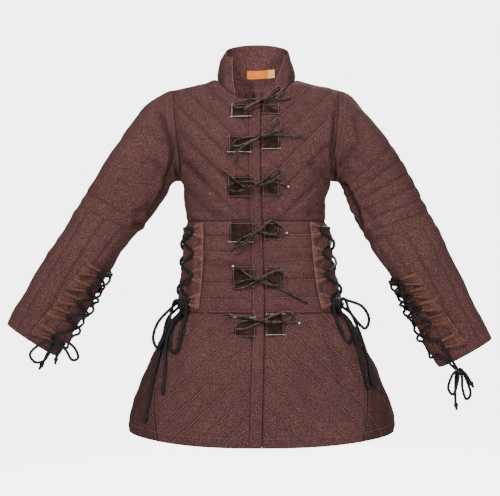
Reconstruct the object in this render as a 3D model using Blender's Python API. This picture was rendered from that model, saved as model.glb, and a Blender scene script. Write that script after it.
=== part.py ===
"""A quilted, padded gambeson, filled out as if worn, with nobody in it.

Units are metres. +Z is up, the front faces -Y and the wearer's left is +X.
The origin lies on the centre line, level with the shoulders at the neck, where
the wearer holds the garment up.

Every cloth piece is a wall between an outer and an inner grid of points. The
outer grid follows the body or sleeve form and is raised between its quilting
lines. The inner grid is plain. Neighbouring pieces share their seam points, so
their edges lie side by side, one seam gap apart.
"""
import math
from collections import namedtuple

import bpy
import bmesh
from mathutils import Vector

# ---------------------------------------------------------------- sizes

SEAM_GAP = 0.0004        # clear space between two sewn edges
WALL = 0.0045            # padded cloth at a quilting line
PUFF = 0.0030            # how far the padding swells between the lines
BAND_PUFF = 0.0016       # how far the folded front band stands proud
TURN = 2.3               # roundness of the body section, 2 is an ellipse

SHOULDER_Z = -0.022      # outer end of the shoulder seam
ARMPIT_Z = -0.2295
CHEST_Z = -0.319         # seam between chest and waist
WAIST_Z = -0.519         # seam between waist and skirt
HEM_Z = -0.800
HEM_RISE = 0.016         # the hem is this much higher at the sides

NECK_HALF = 0.0866       # half width of the neck at the shoulder
NECK_DROP_FRONT = 0.053
NECK_DROP_BACK = 0.010
SHOULDER_SLOPE = 0.225   # fall of the shoulder for each metre outward
SHOULDER_ROUND = 0.130   # height over which the shoulder rounds over

BAND_WIDTH = 0.0245      # folded band along the front opening
COLUMNS = 8              # columns of cloth cells in a quarter of the body
CHEST_LOW_ROWS = 3       # rows from the waist seam to the armpit
WAIST_ROWS = 12
SKIRT_ROWS = 10
GORE_COLUMNS = 6
GORE_TOP_TURN = 86.0     # degrees from the front where a gore starts
GORE_HEM_TURN = 43.0
WAIST_FRONT_COLUMNS = 4  # the front waist piece ends at this column
WAIST_BACK_COLUMNS = 6
SLEEVE_RINGS = 20
SLEEVE_FINE_RINGS = 6    # rings near the armhole whose inside is as fine as the outside
HEAD_STATIONS = 4         # the sleeve keeps the armhole's shape this far down
COLLAR_ROWS = 3

LEFT, RIGHT = 1, -1      # the wearer's sides along X
FRONT, BACK = -1, 1      # along Y
SIDE_NAME = {LEFT: "left", RIGHT: "right"}

# Body sections from the shoulders down to the hem.
Level = namedtuple("Level", "z middle half front back")
BODY = [
    Level(0.000, -0.002, 0.1845, 0.078, 0.094),
    Level(-0.030, -0.002, 0.1840, 0.083, 0.098),
    Level(-0.070, -0.002, 0.1820, 0.094, 0.104),
    Level(-0.120, -0.002, 0.1780, 0.108, 0.110),
    Level(-0.170, -0.002, 0.1710, 0.116, 0.112),
    Level(-0.2295, -0.002, 0.1665, 0.118, 0.110),
    Level(-0.270, -0.004, 0.1570, 0.115, 0.105),
    Level(-0.319, -0.002, 0.1555, 0.111, 0.100),
    Level(-0.360, 0.001, 0.1580, 0.111, 0.099),
    Level(-0.414, 0.003, 0.1620, 0.112, 0.101),
    Level(-0.468, 0.005, 0.1700, 0.115, 0.107),
    Level(-0.519, 0.008, 0.1840, 0.120, 0.115),
    Level(-0.560, 0.008, 0.2080, 0.129, 0.125),
    Level(-0.612, 0.009, 0.2370, 0.140, 0.137),
    Level(-0.666, 0.010, 0.2600, 0.150, 0.148),
    Level(-0.720, 0.010, 0.2800, 0.160, 0.158),
    Level(-0.774, 0.010, 0.2960, 0.168, 0.166),
    Level(-0.800, 0.010, 0.3010, 0.172, 0.170),
]

# The armhole edge of the chest pieces: its height as a share of the way from
# armpit to shoulder, its place across the body, and how far round the section
# has turned there, in degrees from the front.
Hole = namedtuple("Hole", "rise edge turn")
ARMHOLE = [
    Hole(0.00, 0.1665, 90.0),
    Hole(0.14, 0.1680, 72.0),
    Hole(0.28, 0.1700, 62.0),
    Hole(0.42, 0.1740, 56.0),
    Hole(0.56, 0.1770, 51.0),
    Hole(0.70, 0.1800, 48.0),
    Hole(0.82, 0.1825, 46.5),
    Hole(0.93, 0.1840, 46.0),
    Hole(1.00, 0.1845, 46.0),
]

# Where the columns of the chest meet the neck and the shoulder seam.
TOP_SPREAD = [0.0, 0.016, 0.036, 0.062, NECK_HALF, 0.111, 0.136, 0.161, 0.1845]

# The front opening wanders a little from the middle.
Opening = namedtuple("Opening", "z x")
OPENING = [
    Opening(0.000, 0.0080),
    Opening(-0.200, 0.0060),
    Opening(-0.330, 0.0100),
    Opening(-0.500, 0.0145),
    Opening(-0.600, 0.0135),
    Opening(-0.800, 0.0085),
]

# Sleeves, from the armhole to the cuff: the upper edge, the lower edge, half
# the depth from front to back, and how far the sleeve swings to the front.
Arm = namedtuple("Arm", "station top_x top_z low_x low_z half_depth swing")
SLEEVES = {
    RIGHT: [
        Arm(0, 0.1845, -0.022, 0.1685, -0.2295, 0.074, 0.000),
        Arm(1, 0.2180, -0.034, 0.1800, -0.2270, 0.074, 0.000),
        Arm(2, 0.2530, -0.063, 0.1880, -0.2290, 0.073, 0.000),
        Arm(3, 0.2880, -0.108, 0.1950, -0.2360, 0.070, 0.001),
        Arm(4, 0.3190, -0.155, 0.2020, -0.2510, 0.067, 0.002),
        Arm(5, 0.3465, -0.198, 0.2170, -0.2780, 0.064, 0.003),
        Arm(6, 0.3710, -0.236, 0.2410, -0.3110, 0.061, 0.004),
        Arm(7, 0.3980, -0.279, 0.2680, -0.3430, 0.058, 0.006),
        Arm(8, 0.4250, -0.324, 0.2950, -0.3760, 0.056, 0.008),
        Arm(9, 0.4520, -0.367, 0.3200, -0.4110, 0.054, 0.010),
        Arm(10, 0.4750, -0.405, 0.3400, -0.4430, 0.052, 0.012),
        Arm(11, 0.4970, -0.441, 0.3590, -0.4780, 0.050, 0.014),
        Arm(12, 0.5180, -0.477, 0.3780, -0.5130, 0.047, 0.016),
        Arm(13, 0.5390, -0.512, 0.4010, -0.5500, 0.044, 0.018),
        Arm(14, 0.5580, -0.545, 0.4430, -0.6200, 0.041, 0.020),
    ],
    LEFT: [
        Arm(0, 0.1845, -0.022, 0.1645, -0.2295, 0.074, 0.000),
        Arm(1, 0.2110, -0.041, 0.1740, -0.2270, 0.073, 0.000),
        Arm(2, 0.2390, -0.070, 0.1820, -0.2280, 0.072, 0.000),
        Arm(3, 0.2700, -0.108, 0.1890, -0.2340, 0.070, 0.001),
        Arm(4, 0.2990, -0.146, 0.1950, -0.2470, 0.067, 0.002),
        Arm(5, 0.3240, -0.187, 0.2025, -0.2680, 0.064, 0.003),
        Arm(6, 0.3480, -0.228, 0.2110, -0.2950, 0.061, 0.004),
        Arm(7, 0.3710, -0.269, 0.2260, -0.3250, 0.058, 0.006),
        Arm(8, 0.3920, -0.310, 0.2450, -0.3560, 0.056, 0.008),
        Arm(9, 0.4120, -0.350, 0.2650, -0.3860, 0.054, 0.010),
        Arm(10, 0.4320, -0.392, 0.2860, -0.4170, 0.052, 0.012),
        Arm(11, 0.4510, -0.433, 0.3070, -0.4530, 0.050, 0.014),
        Arm(12, 0.4700, -0.474, 0.3270, -0.4920, 0.047, 0.016),
        Arm(13, 0.4890, -0.516, 0.3500, -0.5400, 0.044, 0.018),
        Arm(14, 0.5240, -0.578, 0.4050, -0.6440, 0.041, 0.020),
    ],
}

# ---------------------------------------------------------------- reading the tables


def ease(table, column, key, value):
    """Read a column of a table at a key, on a smooth curve through its rows."""
    rows = sorted(table, key=lambda row: getattr(row, key))
    spots = [getattr(row, key) for row in rows]
    held = [getattr(row, column) for row in rows]
    value = min(max(value, spots[0]), spots[-1])
    place = max(i for i in range(len(spots) - 1) if spots[i] <= value)
    before = max(place - 1, 0)
    after = min(place + 2, len(spots) - 1)
    span = spots[place + 1] - spots[place]
    slope_in = (held[place + 1] - held[before]) / (spots[place + 1] - spots[before])
    slope_out = (held[after] - held[place]) / (spots[after] - spots[place])
    t = (value - spots[place]) / span
    return (
        held[place] * (1 + 2 * t) * (1 - t) ** 2
        + slope_in * span * t * (1 - t) ** 2
        + held[place + 1] * t * t * (3 - 2 * t)
        - slope_out * span * t * t * (1 - t)
    )


def body(column, z):
    return ease(BODY, column, "z", z)


def mix(a, b, t):
    return a + (b - a) * t


def across(turn):
    """Share of the half width reached by a section after turning from the front."""
    return math.sin(math.radians(turn)) ** (2 / TURN)


def along(share):
    """Share of the depth left at a share of the half width."""
    return max(0.0, 1 - min(abs(share), 1.0) ** TURN) ** (1 / TURN)


# ---------------------------------------------------------------- the body form


def edge_inset(side, face, z, banded=True):
    """How far from the middle a front piece starts. The right one stops at the band."""
    if face == BACK:
        return 0.0
    opening = ease(OPENING, "x", "z", z) - body("middle", z)
    if side == LEFT:
        return opening + SEAM_GAP
    return (BAND_WIDTH - opening) if banded else -opening


def body_point(side, face, turn, z, banded=True):
    """A point of the body below the armpit, by its turn from the front or the back."""
    half = body("half", z)
    depth = body("front" if face == FRONT else "back", z)
    inset = edge_inset(side, face, z, banded)
    x = inset + half * across(turn) * (1 - inset / half)
    return Vector((body("middle", z) + side * x, face * depth * along(x / half), z))


def shoulder_line(x):
    return -SHOULDER_SLOPE * (abs(x) - NECK_HALF)


def top_edge(face, x):
    """Height of the neck edge, and of the shoulder seam outside it."""
    if x >= NECK_HALF:
        return mix(0.0, SHOULDER_Z, (x - NECK_HALF) / (TOP_SPREAD[-1] - NECK_HALF))
    drop = NECK_DROP_FRONT if face == FRONT else NECK_DROP_BACK
    return -drop * (1 - (x / NECK_HALF) ** 2)


CHEST_ROWS = CHEST_LOW_ROWS + len(ARMHOLE) - 1


def chest_point(side, face, column, row, banded=True):
    """A point of the chest, from the waist seam (row 0) to the neck and shoulder."""
    share = column / COLUMNS
    rise = 0.0
    if row <= CHEST_LOW_ROWS:
        edge_z = mix(CHEST_Z, ARMPIT_Z, row / CHEST_LOW_ROWS)
        edge = half = body("half", edge_z)
        turn = 90.0
    else:
        hole = ARMHOLE[row - CHEST_LOW_ROWS]
        rise = hole.rise
        turn = hole.turn
        edge = hole.edge
        edge_z = mix(ARMPIT_Z, SHOULDER_Z, rise)
        half = edge / across(turn)
    x = mix(half * across(share * turn), TOP_SPREAD[column] * edge / TOP_SPREAD[-1], rise**2)
    lift = (edge_z - CHEST_Z) / (SHOULDER_Z - CHEST_Z)
    z = mix(CHEST_Z, top_edge(face, TOP_SPREAD[column]), lift)
    faded = mix(edge, NECK_HALF, rise**2)
    x += edge_inset(side, face, z, banded) * max(0.0, 1 - x / faded)
    depth = body("front" if face == FRONT else "back", z)
    round_off = min(1.0, max(0.0, (shoulder_line(x) - z) / SHOULDER_ROUND))
    if row == CHEST_ROWS and x >= NECK_HALF - 1e-6:
        round_off = 0.0
    y = face * depth * along(x / half) * math.sqrt(1 - (1 - round_off) ** 2)
    return Vector((body("middle", z) + side * x, y, z))


def waist_point(side, face, column, row):
    z = mix(WAIST_Z, CHEST_Z, row / WAIST_ROWS)
    return body_point(side, face, 90.0 * column / COLUMNS, z)


def hem_z(turn):
    return HEM_Z + HEM_RISE * math.sin(math.radians(turn)) ** 2


def gore_turn(row):
    """How far round from the front a gore starts, at a row counted up from the hem."""
    drop = 1 - row / SKIRT_ROWS
    return mix(GORE_TOP_TURN, GORE_HEM_TURN, drop**0.8)


def skirt_point(side, face, column, row, banded=True):
    turn = gore_turn(row) * column / COLUMNS
    z = mix(hem_z(turn), WAIST_Z, row / SKIRT_ROWS)
    return body_point(side, face, turn, z, banded)


def gore_point(side, column, row):
    """A gore runs round the side from its front edge to its back edge."""
    start = gore_turn(row)
    turn = mix(start, 180.0 - start, column / GORE_COLUMNS)
    face = FRONT if column <= GORE_COLUMNS / 2 else BACK
    turn = turn if face == FRONT else 180.0 - turn
    z = mix(hem_z(turn), WAIST_Z, row / SKIRT_ROWS)
    return body_point(side, face, turn, z)


def ring(face_rows, side_of):
    """Join two mirrored quarter rows, left to right, without repeating the middle."""
    return [side_of(RIGHT, c) for c in reversed(face_rows)] + [side_of(LEFT, c) for c in face_rows[1:]]


# ---------------------------------------------------------------- the sleeves

ARMHOLE_STEPS = len(ARMHOLE) - 1
SLEEVE_POINTS = 2 * ARMHOLE_STEPS


def armhole_point(side, step):
    """The armhole edge, down the front from the shoulder and up the back."""
    face = FRONT if step <= ARMHOLE_STEPS else BACK
    rows_down = step if face == FRONT else SLEEVE_POINTS - step
    return chest_point(side, face, COLUMNS, CHEST_ROWS - rows_down)


def sleeve_point(side, station, step):
    """A point of a sleeve, by its station (0 is the armhole) and its step round."""
    table = SLEEVES[side]
    top = Vector((ease(table, "top_x", "station", station), 0.0, ease(table, "top_z", "station", station)))
    low = Vector((ease(table, "low_x", "station", station), 0.0, ease(table, "low_z", "station", station)))
    angle = 2 * math.pi * step / SLEEVE_POINTS
    up = math.copysign(abs(math.cos(angle)) ** (2 / TURN), math.cos(angle))
    out = math.copysign(abs(math.sin(angle)) ** (2 / TURN), math.sin(angle))
    head = max(0.0, 1 - station / HEAD_STATIONS)
    if head > 0:
        hole = armhole_point(side, step)
        middle_z = (SHOULDER_Z + ARMPIT_Z) / 2
        up = mix(up, (hole.z - middle_z) / (SHOULDER_Z - middle_z), head)
        out = mix(out, -hole.y / table[0].half_depth, head)
    spot = (top + low) / 2 + (top - low) / 2 * up
    spot.x *= side
    spot.y = -ease(table, "swing", "station", station) - ease(table, "half_depth", "station", station) * out
    return spot


# ---------------------------------------------------------------- walls


def key_of(point):
    return tuple(round(c, 6) for c in point)


RIM_LEAN = Vector((0.31, 0.52, 0.79))    # facing edges are split the same way
NORMALS = {}             # summed face normals of all cloth forms, by point


def quads(rows, columns, wrap=False):
    for i in range(rows - 1):
        for j in range(columns if wrap else columns - 1):
            yield i, j, i + 1, (j + 1) % columns


def note_normals(grid, wrap, outward):
    """Add a form's face normals to the shared sums, so seams agree on one normal."""
    for i, j, up, on in quads(len(grid), len(grid[0]), wrap):
        corners = (grid[i][j], grid[i][on], grid[up][on], grid[up][j])
        normal = (corners[2] - corners[0]).cross(corners[3] - corners[1]) * outward
        for corner in corners:
            NORMALS[key_of(corner)] = NORMALS.get(key_of(corner), Vector()) + normal


def normal_at(point):
    return NORMALS[key_of(point)].normalized()


def drawn_in(grid, wrap, gap):
    """Move a grid's border points into the piece by a gap."""
    rows, columns = len(grid), len(grid[0])
    result = [[point.copy() for point in line] for line in grid]
    for i in range(rows):
        for j in range(columns):
            shift = Vector()
            if i in (0, rows - 1):
                inner = grid[1][j] if i == 0 else grid[rows - 2][j]
                shift += (inner - grid[i][j]).normalized() * gap
            if not wrap and j in (0, columns - 1):
                inner = grid[i][1] if j == 0 else grid[i][columns - 2]
                shift += (inner - grid[i][j]).normalized() * gap
            result[i][j] += shift
    return result


def wall(name, outer, inner, finish, wrap=False, outward=1, lean=1, filled=None, plain_from=None):
    """Close an outer and an inner grid into one solid.

    lean picks the diagonal that splits each cell, so that it runs along the
    quilting. filled names the cells that exist, where the piece has cut-outs.
    From the row plain_from on, the inner face takes two rows of cells at a time.
    """
    rows, columns = len(outer), len(outer[0])
    cells = [cell for cell in quads(rows, columns, wrap) if filled is None or filled(cell[0], cell[1])]
    mesh = bmesh.new()
    corners = {}

    def vertex(layer, i, j):
        spot = (layer, i, j)
        if spot not in corners:
            corners[spot] = mesh.verts.new((outer if layer else inner)[i][j])
        return corners[spot]

    def triangle(a, b, c, flip):
        mesh.faces.new((a, c, b) if flip else (a, b, c))

    open_edges = {}
    for i, j, up, on in cells:
        loop = ((i, j), (i, on), (up, on), (up, j))
        lean_here = lean(i, j) if callable(lean) else lean
        first = loop if lean_here > 0 else loop[1:] + loop[:1]
        for layer in (1, 0):
            if layer == 0 and plain_from is not None and i >= plain_from:
                continue
            a, b, c, d = (vertex(layer, *spot) for spot in first)
            flip = (outward < 0) == bool(layer)
            triangle(a, b, c, flip)
            triangle(a, c, d, flip)
        for start, end in zip(loop, loop[1:] + loop[:1]):
            if (end, start) in open_edges:
                del open_edges[(end, start)]
            else:
                open_edges[(start, end)] = True
    if plain_from is not None:
        for i in range(plain_from, rows - 1, 2):
            top = min(i + 2, rows - 1)
            for j in range(columns if wrap else columns - 1):
                on = (j + 1) % columns
                near = [(row, on) for row in range(i, top + 1)]
                far = [(row, j) for row in range(top, i - 1, -1)]
                if wrap or on != columns - 1:
                    near = [near[0], near[-1]]
                if wrap or j != 0:
                    far = [far[0], far[-1]]
                fan = near + far
                if len(far) > len(near):
                    fan = fan[2:] + fan[:2]
                corner = vertex(0, *fan[-1])
                for first_spot, second_spot in zip(fan[:-2], fan[1:-1]):
                    triangle(corner, vertex(0, *first_spot), vertex(0, *second_spot), outward > 0)
    for start, end in open_edges:
        a, b = vertex(1, *start), vertex(1, *end)
        c, d = vertex(0, *end), vertex(0, *start)
        if (b.co - a.co).dot(RIM_LEAN) > 0:
            triangle(b, a, d, outward < 0)
            triangle(b, d, c, outward < 0)
        else:
            triangle(b, a, c, outward < 0)
            triangle(c, a, d, outward < 0)
    return finish_solid(name, mesh, finish)


def finish_solid(name, mesh, finish):
    data = bpy.data.meshes.new(name)
    mesh.to_mesh(data)
    mesh.free()
    solid = bpy.data.objects.new(name, data)
    bpy.context.scene.collection.objects.link(solid)
    data.materials.append(finish)
    data.shade_smooth()
    data.set_sharp_from_angle(angle=math.radians(40))
    return solid


def padded(name, grid, finish, puffed, wrap=False, outward=1, lean=1, plain_from=0):
    """A padded piece: raised by puffed(i, j) outside, plain inside."""
    ways = [[normal_at(point) for point in line] for line in grid]
    seams = drawn_in(grid, wrap, SEAM_GAP / 2)
    outer = [
        [seams[i][j] + ways[i][j] * puffed(i, j) for j in range(len(grid[0]))]
        for i in range(len(grid))
    ]
    inner = [
        [seams[i][j] - ways[i][j] * WALL for j in range(len(grid[0]))]
        for i in range(len(grid))
    ]
    return wall(name, outer, inner, finish, wrap, outward, lean, plain_from=plain_from)

# ---------------------------------------------------------------- finishes


def make_finish(name, colour, roughness):
    material = bpy.data.materials.new(name)
    material.use_nodes = True
    shader = material.node_tree.nodes["Principled BSDF"]
    shader.inputs["Base Color"].default_value = (*colour, 1.0)
    shader.inputs["Roughness"].default_value = roughness
    shader.inputs["Metallic"].default_value = 0.0
    return material


# ---------------------------------------------------------------- padded pieces

FULL = list(range(COLUMNS + 1))


def body_grids():
    """The outer forms of all the body's cloth pieces: grid, and which way is out."""
    grids = {}
    chest_rows = range(CHEST_ROWS + 1)
    waist_rows = range(WAIST_ROWS + 1)
    skirt_rows = range(SKIRT_ROWS + 1)
    front_columns = range(WAIST_FRONT_COLUMNS + 1)
    for side in (LEFT, RIGHT):
        tag = SIDE_NAME[side]
        grids["chest_front_" + tag] = (
            [[chest_point(side, FRONT, c, r) for c in FULL] for r in chest_rows], side)
        grids["waist_front_" + tag] = (
            [[waist_point(side, FRONT, c, r) for c in front_columns] for r in waist_rows], side)
        round_side = [(FRONT, c) for c in range(WAIST_FRONT_COLUMNS, COLUMNS + 1)]
        round_side += [(BACK, c) for c in range(COLUMNS - 1, WAIST_BACK_COLUMNS - 1, -1)]
        grids["waist_side_" + tag] = (
            [[waist_point(side, face, c, r) for face, c in round_side] for r in waist_rows], side)
        grids["skirt_front_" + tag] = (
            [[skirt_point(side, FRONT, c, r) for c in FULL] for r in skirt_rows], side)
        grids["skirt_gore_" + tag] = (
            [[gore_point(side, c, r) for c in range(GORE_COLUMNS + 1)] for r in skirt_rows], side)
    grids["chest_back"] = (
        [ring(FULL, lambda side, c: chest_point(side, BACK, c, r)) for r in chest_rows], -1)
    back_columns = list(range(WAIST_BACK_COLUMNS + 1))
    grids["waist_back"] = (
        [ring(back_columns, lambda side, c: waist_point(side, BACK, c, r)) for r in waist_rows], -1)
    grids["skirt_back"] = (
        [ring(FULL, lambda side, c: skirt_point(side, BACK, c, r)) for r in skirt_rows], -1)
    grids["front_band"] = (band_grid(), 1)
    return grids


def band_grid():
    """The folded edge of the right front, from the hem up to the neck."""
    places = [(skirt_point, r) for r in range(SKIRT_ROWS)]
    places += [(waist_point, r) for r in range(WAIST_ROWS)]
    places += [(chest_point, r) for r in range(CHEST_ROWS + 1)]
    grid = []
    for form, row in places:
        seam = form(RIGHT, FRONT, 0, row)
        z = seam.z
        fold = seam.copy()
        fold.x = ease(OPENING, "x", "z", z)
        depth = abs(seam.y) / along((seam.x - body("middle", z)) / body("half", z))
        fold.y = -depth * along((fold.x - body("middle", z)) / body("half", z))
        grid.append([seam, (seam + fold) / 2, fold])
    return grid


def sleeve_grid(side):
    stations = SLEEVES[side][-1].station
    grid = [[armhole_point(side, m) for m in range(SLEEVE_POINTS)]]
    for r in range(1, SLEEVE_RINGS):
        station = stations * r / (SLEEVE_RINGS - 1)
        grid.append([sleeve_point(side, station, m) for m in range(SLEEVE_POINTS)])
    return grid


def on_border(i, j, rows, columns):
    return i in (0, rows) or j in (0, columns)


def chevron(rows, columns, middle, slant):
    """Quilting in slanting lines, mirrored about a middle column."""

    def puffed(i, j):
        if on_border(i, j, rows, columns) or (abs(j - middle) - slant * i) % 2 == 0:
            return 0.0
        return PUFF

    def lean(i, j):
        return slant if j >= middle else -slant

    return puffed, lean


def channels(rows, columns):
    """Quilting in level channels, two rows of cells to a channel."""

    def puffed(i, j):
        return PUFF if i % 2 and not on_border(i, j, rows, columns) else 0.0

    return puffed, 1


def sleeve_quilting():
    """Channels across the upper arm, and along the forearm."""
    elbow = SLEEVE_RINGS // 2

    def puffed(i, j):
        if i in (0, elbow, SLEEVE_RINGS - 1):
            return 0.0
        raised = i % 2 if i < elbow else j % 2
        return PUFF * 0.8 if raised else 0.0

    return puffed, 1


def make_body(cloth):
    for name, (grid, outward) in body_grids().items():
        note_normals(grid, False, outward)
    sleeves = {side: sleeve_grid(side) for side in (LEFT, RIGHT)}
    for side in (LEFT, RIGHT):
        note_normals(sleeves[side], True, side)
    for name, (grid, outward) in body_grids().items():
        rows, columns = len(grid) - 1, len(grid[0]) - 1
        middle = 0 if "front" in name or "gore" in name or "side" in name else columns // 2
        if name == "front_band":
            puffed, lean = (lambda i, j: BAND_PUFF if j else 0.0), 1
        elif name.startswith("waist"):
            puffed, lean = channels(rows, columns)
        else:
            puffed, lean = chevron(rows, columns, middle, 1 if name.startswith("chest") else -1)
        padded(name, grid, cloth, puffed, outward=outward, lean=lean)
    for side in (LEFT, RIGHT):
        puffed, lean = sleeve_quilting()
        padded("sleeve_" + SIDE_NAME[side], sleeves[side], cloth, puffed,
               wrap=True, outward=side, lean=lean, plain_from=SLEEVE_FINE_RINGS)


# ---------------------------------------------------------------- collar and label

COLLAR_WIDE = 0.072      # half width of the collar's top edge
COLLAR_FRONT = 0.045
COLLAR_BACK = 0.056
COLLAR_MIDDLE_Y = 0.006
COLLAR_FRONT_Z = 0.040   # top edge at the very front, and how much higher at the back
COLLAR_BACK_RISE = 0.049
COLLAR_RIGHT_TURN = 47.0  # degrees from the front where each collar end stands open
COLLAR_LEFT_TURN = 58.0
LABEL_HALF = 0.032
LABEL_LOW, LABEL_HIGH = 0.30, 0.58
LABEL_THICK = 0.0010


def collar_seam():
    """The neck edge from the right front, round the back, to the left front."""
    route = [(RIGHT, FRONT, c) for c in (2, 3, 4)] + [(RIGHT, BACK, c) for c in (3, 2, 1, 0)]
    route += [(LEFT, BACK, c) for c in (1, 2, 3, 4)] + [(LEFT, FRONT, c) for c in (3, 2, 1)]
    corners = [chest_point(side, face, c, CHEST_ROWS) for side, face, c in route]
    seam = [corners[0]]
    for start, end in zip(corners, corners[1:]):
        seam += [(start + end) / 2, end]
    return [point + Vector((0, 0, SEAM_GAP)) for point in seam]


def collar_rim(share):
    """The collar's top edge, from its right end (0) round the back to its left (1)."""
    turn = math.radians(-COLLAR_RIGHT_TURN - share * (360 - COLLAR_RIGHT_TURN - COLLAR_LEFT_TURN))
    deep = COLLAR_FRONT if math.cos(turn) > 0 else COLLAR_BACK
    rise = COLLAR_BACK_RISE * (1 - math.cos(turn)) / 2
    return Vector((COLLAR_WIDE * math.sin(turn), COLLAR_MIDDLE_Y - deep * math.cos(turn),
                   COLLAR_FRONT_Z + rise))


def collar_grid():
    seam = collar_seam()
    last = len(seam) - 1
    grid = []
    for row in range(COLLAR_ROWS + 1):
        t = row / COLLAR_ROWS
        bow = 0.004 * math.sin(math.pi * t)
        line = []
        for c, point in enumerate(seam):
            spot = point.lerp(collar_rim(c / last), t)
            outward = Vector((spot.x, spot.y - COLLAR_MIDDLE_Y, 0)).normalized()
            line.append(spot + outward * bow)
        grid.append(line)
    return grid


def make_collar(cloth, label_finish):
    grid = collar_grid()
    note_normals(grid, False, -1)
    rows, columns = len(grid) - 1, len(grid[0]) - 1

    def puffed(i, j):
        return 0.0 if on_border(i, j, rows, columns) else PUFF / 2

    padded("collar", grid, cloth, puffed, outward=-1, plain_from=None)
    middle = [j for j in range(columns + 1) if abs(grid[0][j].x) < LABEL_HALF and grid[0][j].y > 0]
    outer, inner = [], []
    for t in (LABEL_LOW, LABEL_HIGH):
        row = t * rows
        low = int(row)
        line = [grid[low][j].lerp(grid[low + 1][j], row - low) for j in middle]
        ways = [normal_at(grid[low][j]).lerp(normal_at(grid[low + 1][j]), row - low) for j in middle]
        face = [p - w * (WALL + SEAM_GAP) for p, w in zip(line, ways)]
        outer.append(face)
        inner.append([p - w * LABEL_THICK for p, w in zip(face, ways)])
    wall("label", outer, inner, label_finish, outward=-1)

# ---------------------------------------------------------------- places on the cloth


def lifted(form, u, v, lift, outward, du, dv):
    """A point of a form moved out along its normal. The form takes (u, v)."""
    spot = form(u, v)
    normal = (form(u + du, v) - form(u - du, v)).cross(form(u, v + dv) - form(u, v - dv))
    return spot + normal.normalized() * lift * outward


def front_form(x, z):
    """The front of the body at a place seen from the front."""
    half = body("half", z)
    if z > ARMPIT_Z:
        rise = (z - ARMPIT_Z) / (SHOULDER_Z - ARMPIT_Z)
        half = ease(ARMHOLE, "edge", "rise", rise) / across(ease(ARMHOLE, "turn", "rise", rise))
    away = x - body("middle", z)
    round_off = min(1.0, max(0.0, (shoulder_line(away) - z) / SHOULDER_ROUND))
    return Vector((x, -body("front", z) * along(away / half) * math.sqrt(1 - (1 - round_off) ** 2), z))


def on_front(x, z, lift):
    return lifted(front_form, x, z, lift, 1, 0.004, 0.004)


def on_waist(side, turn, z, lift):
    """A place on the side of the body, by its turn from the front."""

    def form(angle, height):
        if angle <= 90.0:
            return body_point(side, FRONT, angle, height)
        return body_point(side, BACK, 180.0 - angle, height)

    return lifted(form, turn, z, lift, side, 2.0, 0.004)


def on_sleeve(side, step, station, lift):
    """A place on a sleeve, by its step round and its station along."""
    return lifted(lambda u, v: sleeve_point(side, v, u), step, station, lift, side, 0.2, 0.1)


# ---------------------------------------------------------------- patches

PATCH_THICK = 0.0020
PATCH_LIFT = PUFF + 0.0011
PATCH_CELLS = 2

# Pairs of patches down the front: height of the middle and of the patch on the
# right front, then on the left front, how far each reaches from the opening, and
# how much nearer to the cloth the pair lies.
Patch = namedtuple("Patch", "right_z right_tall right_reach left_z left_tall left_reach sink")
PATCHES = [
    Patch(-0.082, 0.031, 0.064, -0.079, 0.024, 0.041, 0.0006),
    Patch(-0.156, 0.037, 0.068, -0.149, 0.037, 0.042, 0.0),
    Patch(-0.246, 0.045, 0.070, -0.245, 0.039, 0.040, 0.0),
    Patch(-0.345, 0.045, 0.069, -0.342, 0.039, 0.037, 0.0),
    Patch(-0.443, 0.043, 0.067, -0.443, 0.043, 0.039, 0.0),
    Patch(-0.547, 0.045, 0.064, -0.542, 0.049, 0.043, 0.0013),
]
RIGHT_PATCH_START = 0.0175   # from the opening, over the folded band's edge
LEFT_PATCH_START = 0.0030


def make_patches(suede):
    for number, patch in enumerate(PATCHES, 1):
        sides = [("right", RIGHT, patch.right_z, patch.right_tall, RIGHT_PATCH_START, patch.right_reach),
                 ("left", LEFT, patch.left_z, patch.left_tall, LEFT_PATCH_START, patch.left_reach)]
        for tag, side, middle, tall, start, reach in sides:
            opening = ease(OPENING, "x", "z", middle)
            layers = []
            under = PATCH_LIFT - patch.sink
            for lift in (under + PATCH_THICK, under):
                layers.append([
                    [on_front(opening + side * mix(start, reach, c / PATCH_CELLS),
                              middle + tall * (r / PATCH_CELLS - 0.5), lift)
                     for c in range(PATCH_CELLS + 1)]
                    for r in range(PATCH_CELLS + 1)])
            wall(f"patch_{tag}_{number}", layers[0], layers[1], suede, outward=side)


# ---------------------------------------------------------------- tab strips

TAB_THICK = 0.0025
TAB_LIFT = PUFF + 0.0004
WAIST_TAB_Z = (-0.494, -0.439, -0.390, -0.340)
WAIST_TAB_TALL = 0.032
WAIST_STRIP = {FRONT: (45.6, 48.6), BACK: (108.9, 111.9)}    # turns from the front
WAIST_TAB_REACH = {FRONT: (53.3, 58.0), BACK: (99.5, 104.2)}
ARM_TABS = {RIGHT: (9.8, 10.8, 11.7, 12.6, 13.5), LEFT: (11.0, 11.75, 12.45, 13.05, 13.6)}
ARM_TAB_TALL = 0.028
ARM_STRIP_TOP, ARM_STRIP_CUFF = 4.6, 3.9     # steps round the sleeve
ARM_BACK_TOP, ARM_BACK_CUFF = 10.2, 10.8
ARM_STRIP_WIDE, ARM_TAB_LONG = 0.4, 1.3      # in steps


def comb(name, place, strip_columns, tab_columns, spans, finish, outward):
    """A strip with tabs: place(column, row value, lift) gives its points."""
    tabs_after = tab_columns[0] > strip_columns[0]
    columns = sorted(strip_columns + tab_columns)
    levels = [edge for span in spans for edge in span]

    def filled(i, j):
        in_strip = j == 0 if tabs_after else j == len(columns) - 2
        return in_strip or i % 2 == 0

    layers = [[[place(c, level, lift) for c in columns] for level in levels]
              for lift in (TAB_LIFT + TAB_THICK, TAB_LIFT)]
    wall(name, layers[0], layers[1], finish, outward=outward, filled=filled)


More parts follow.
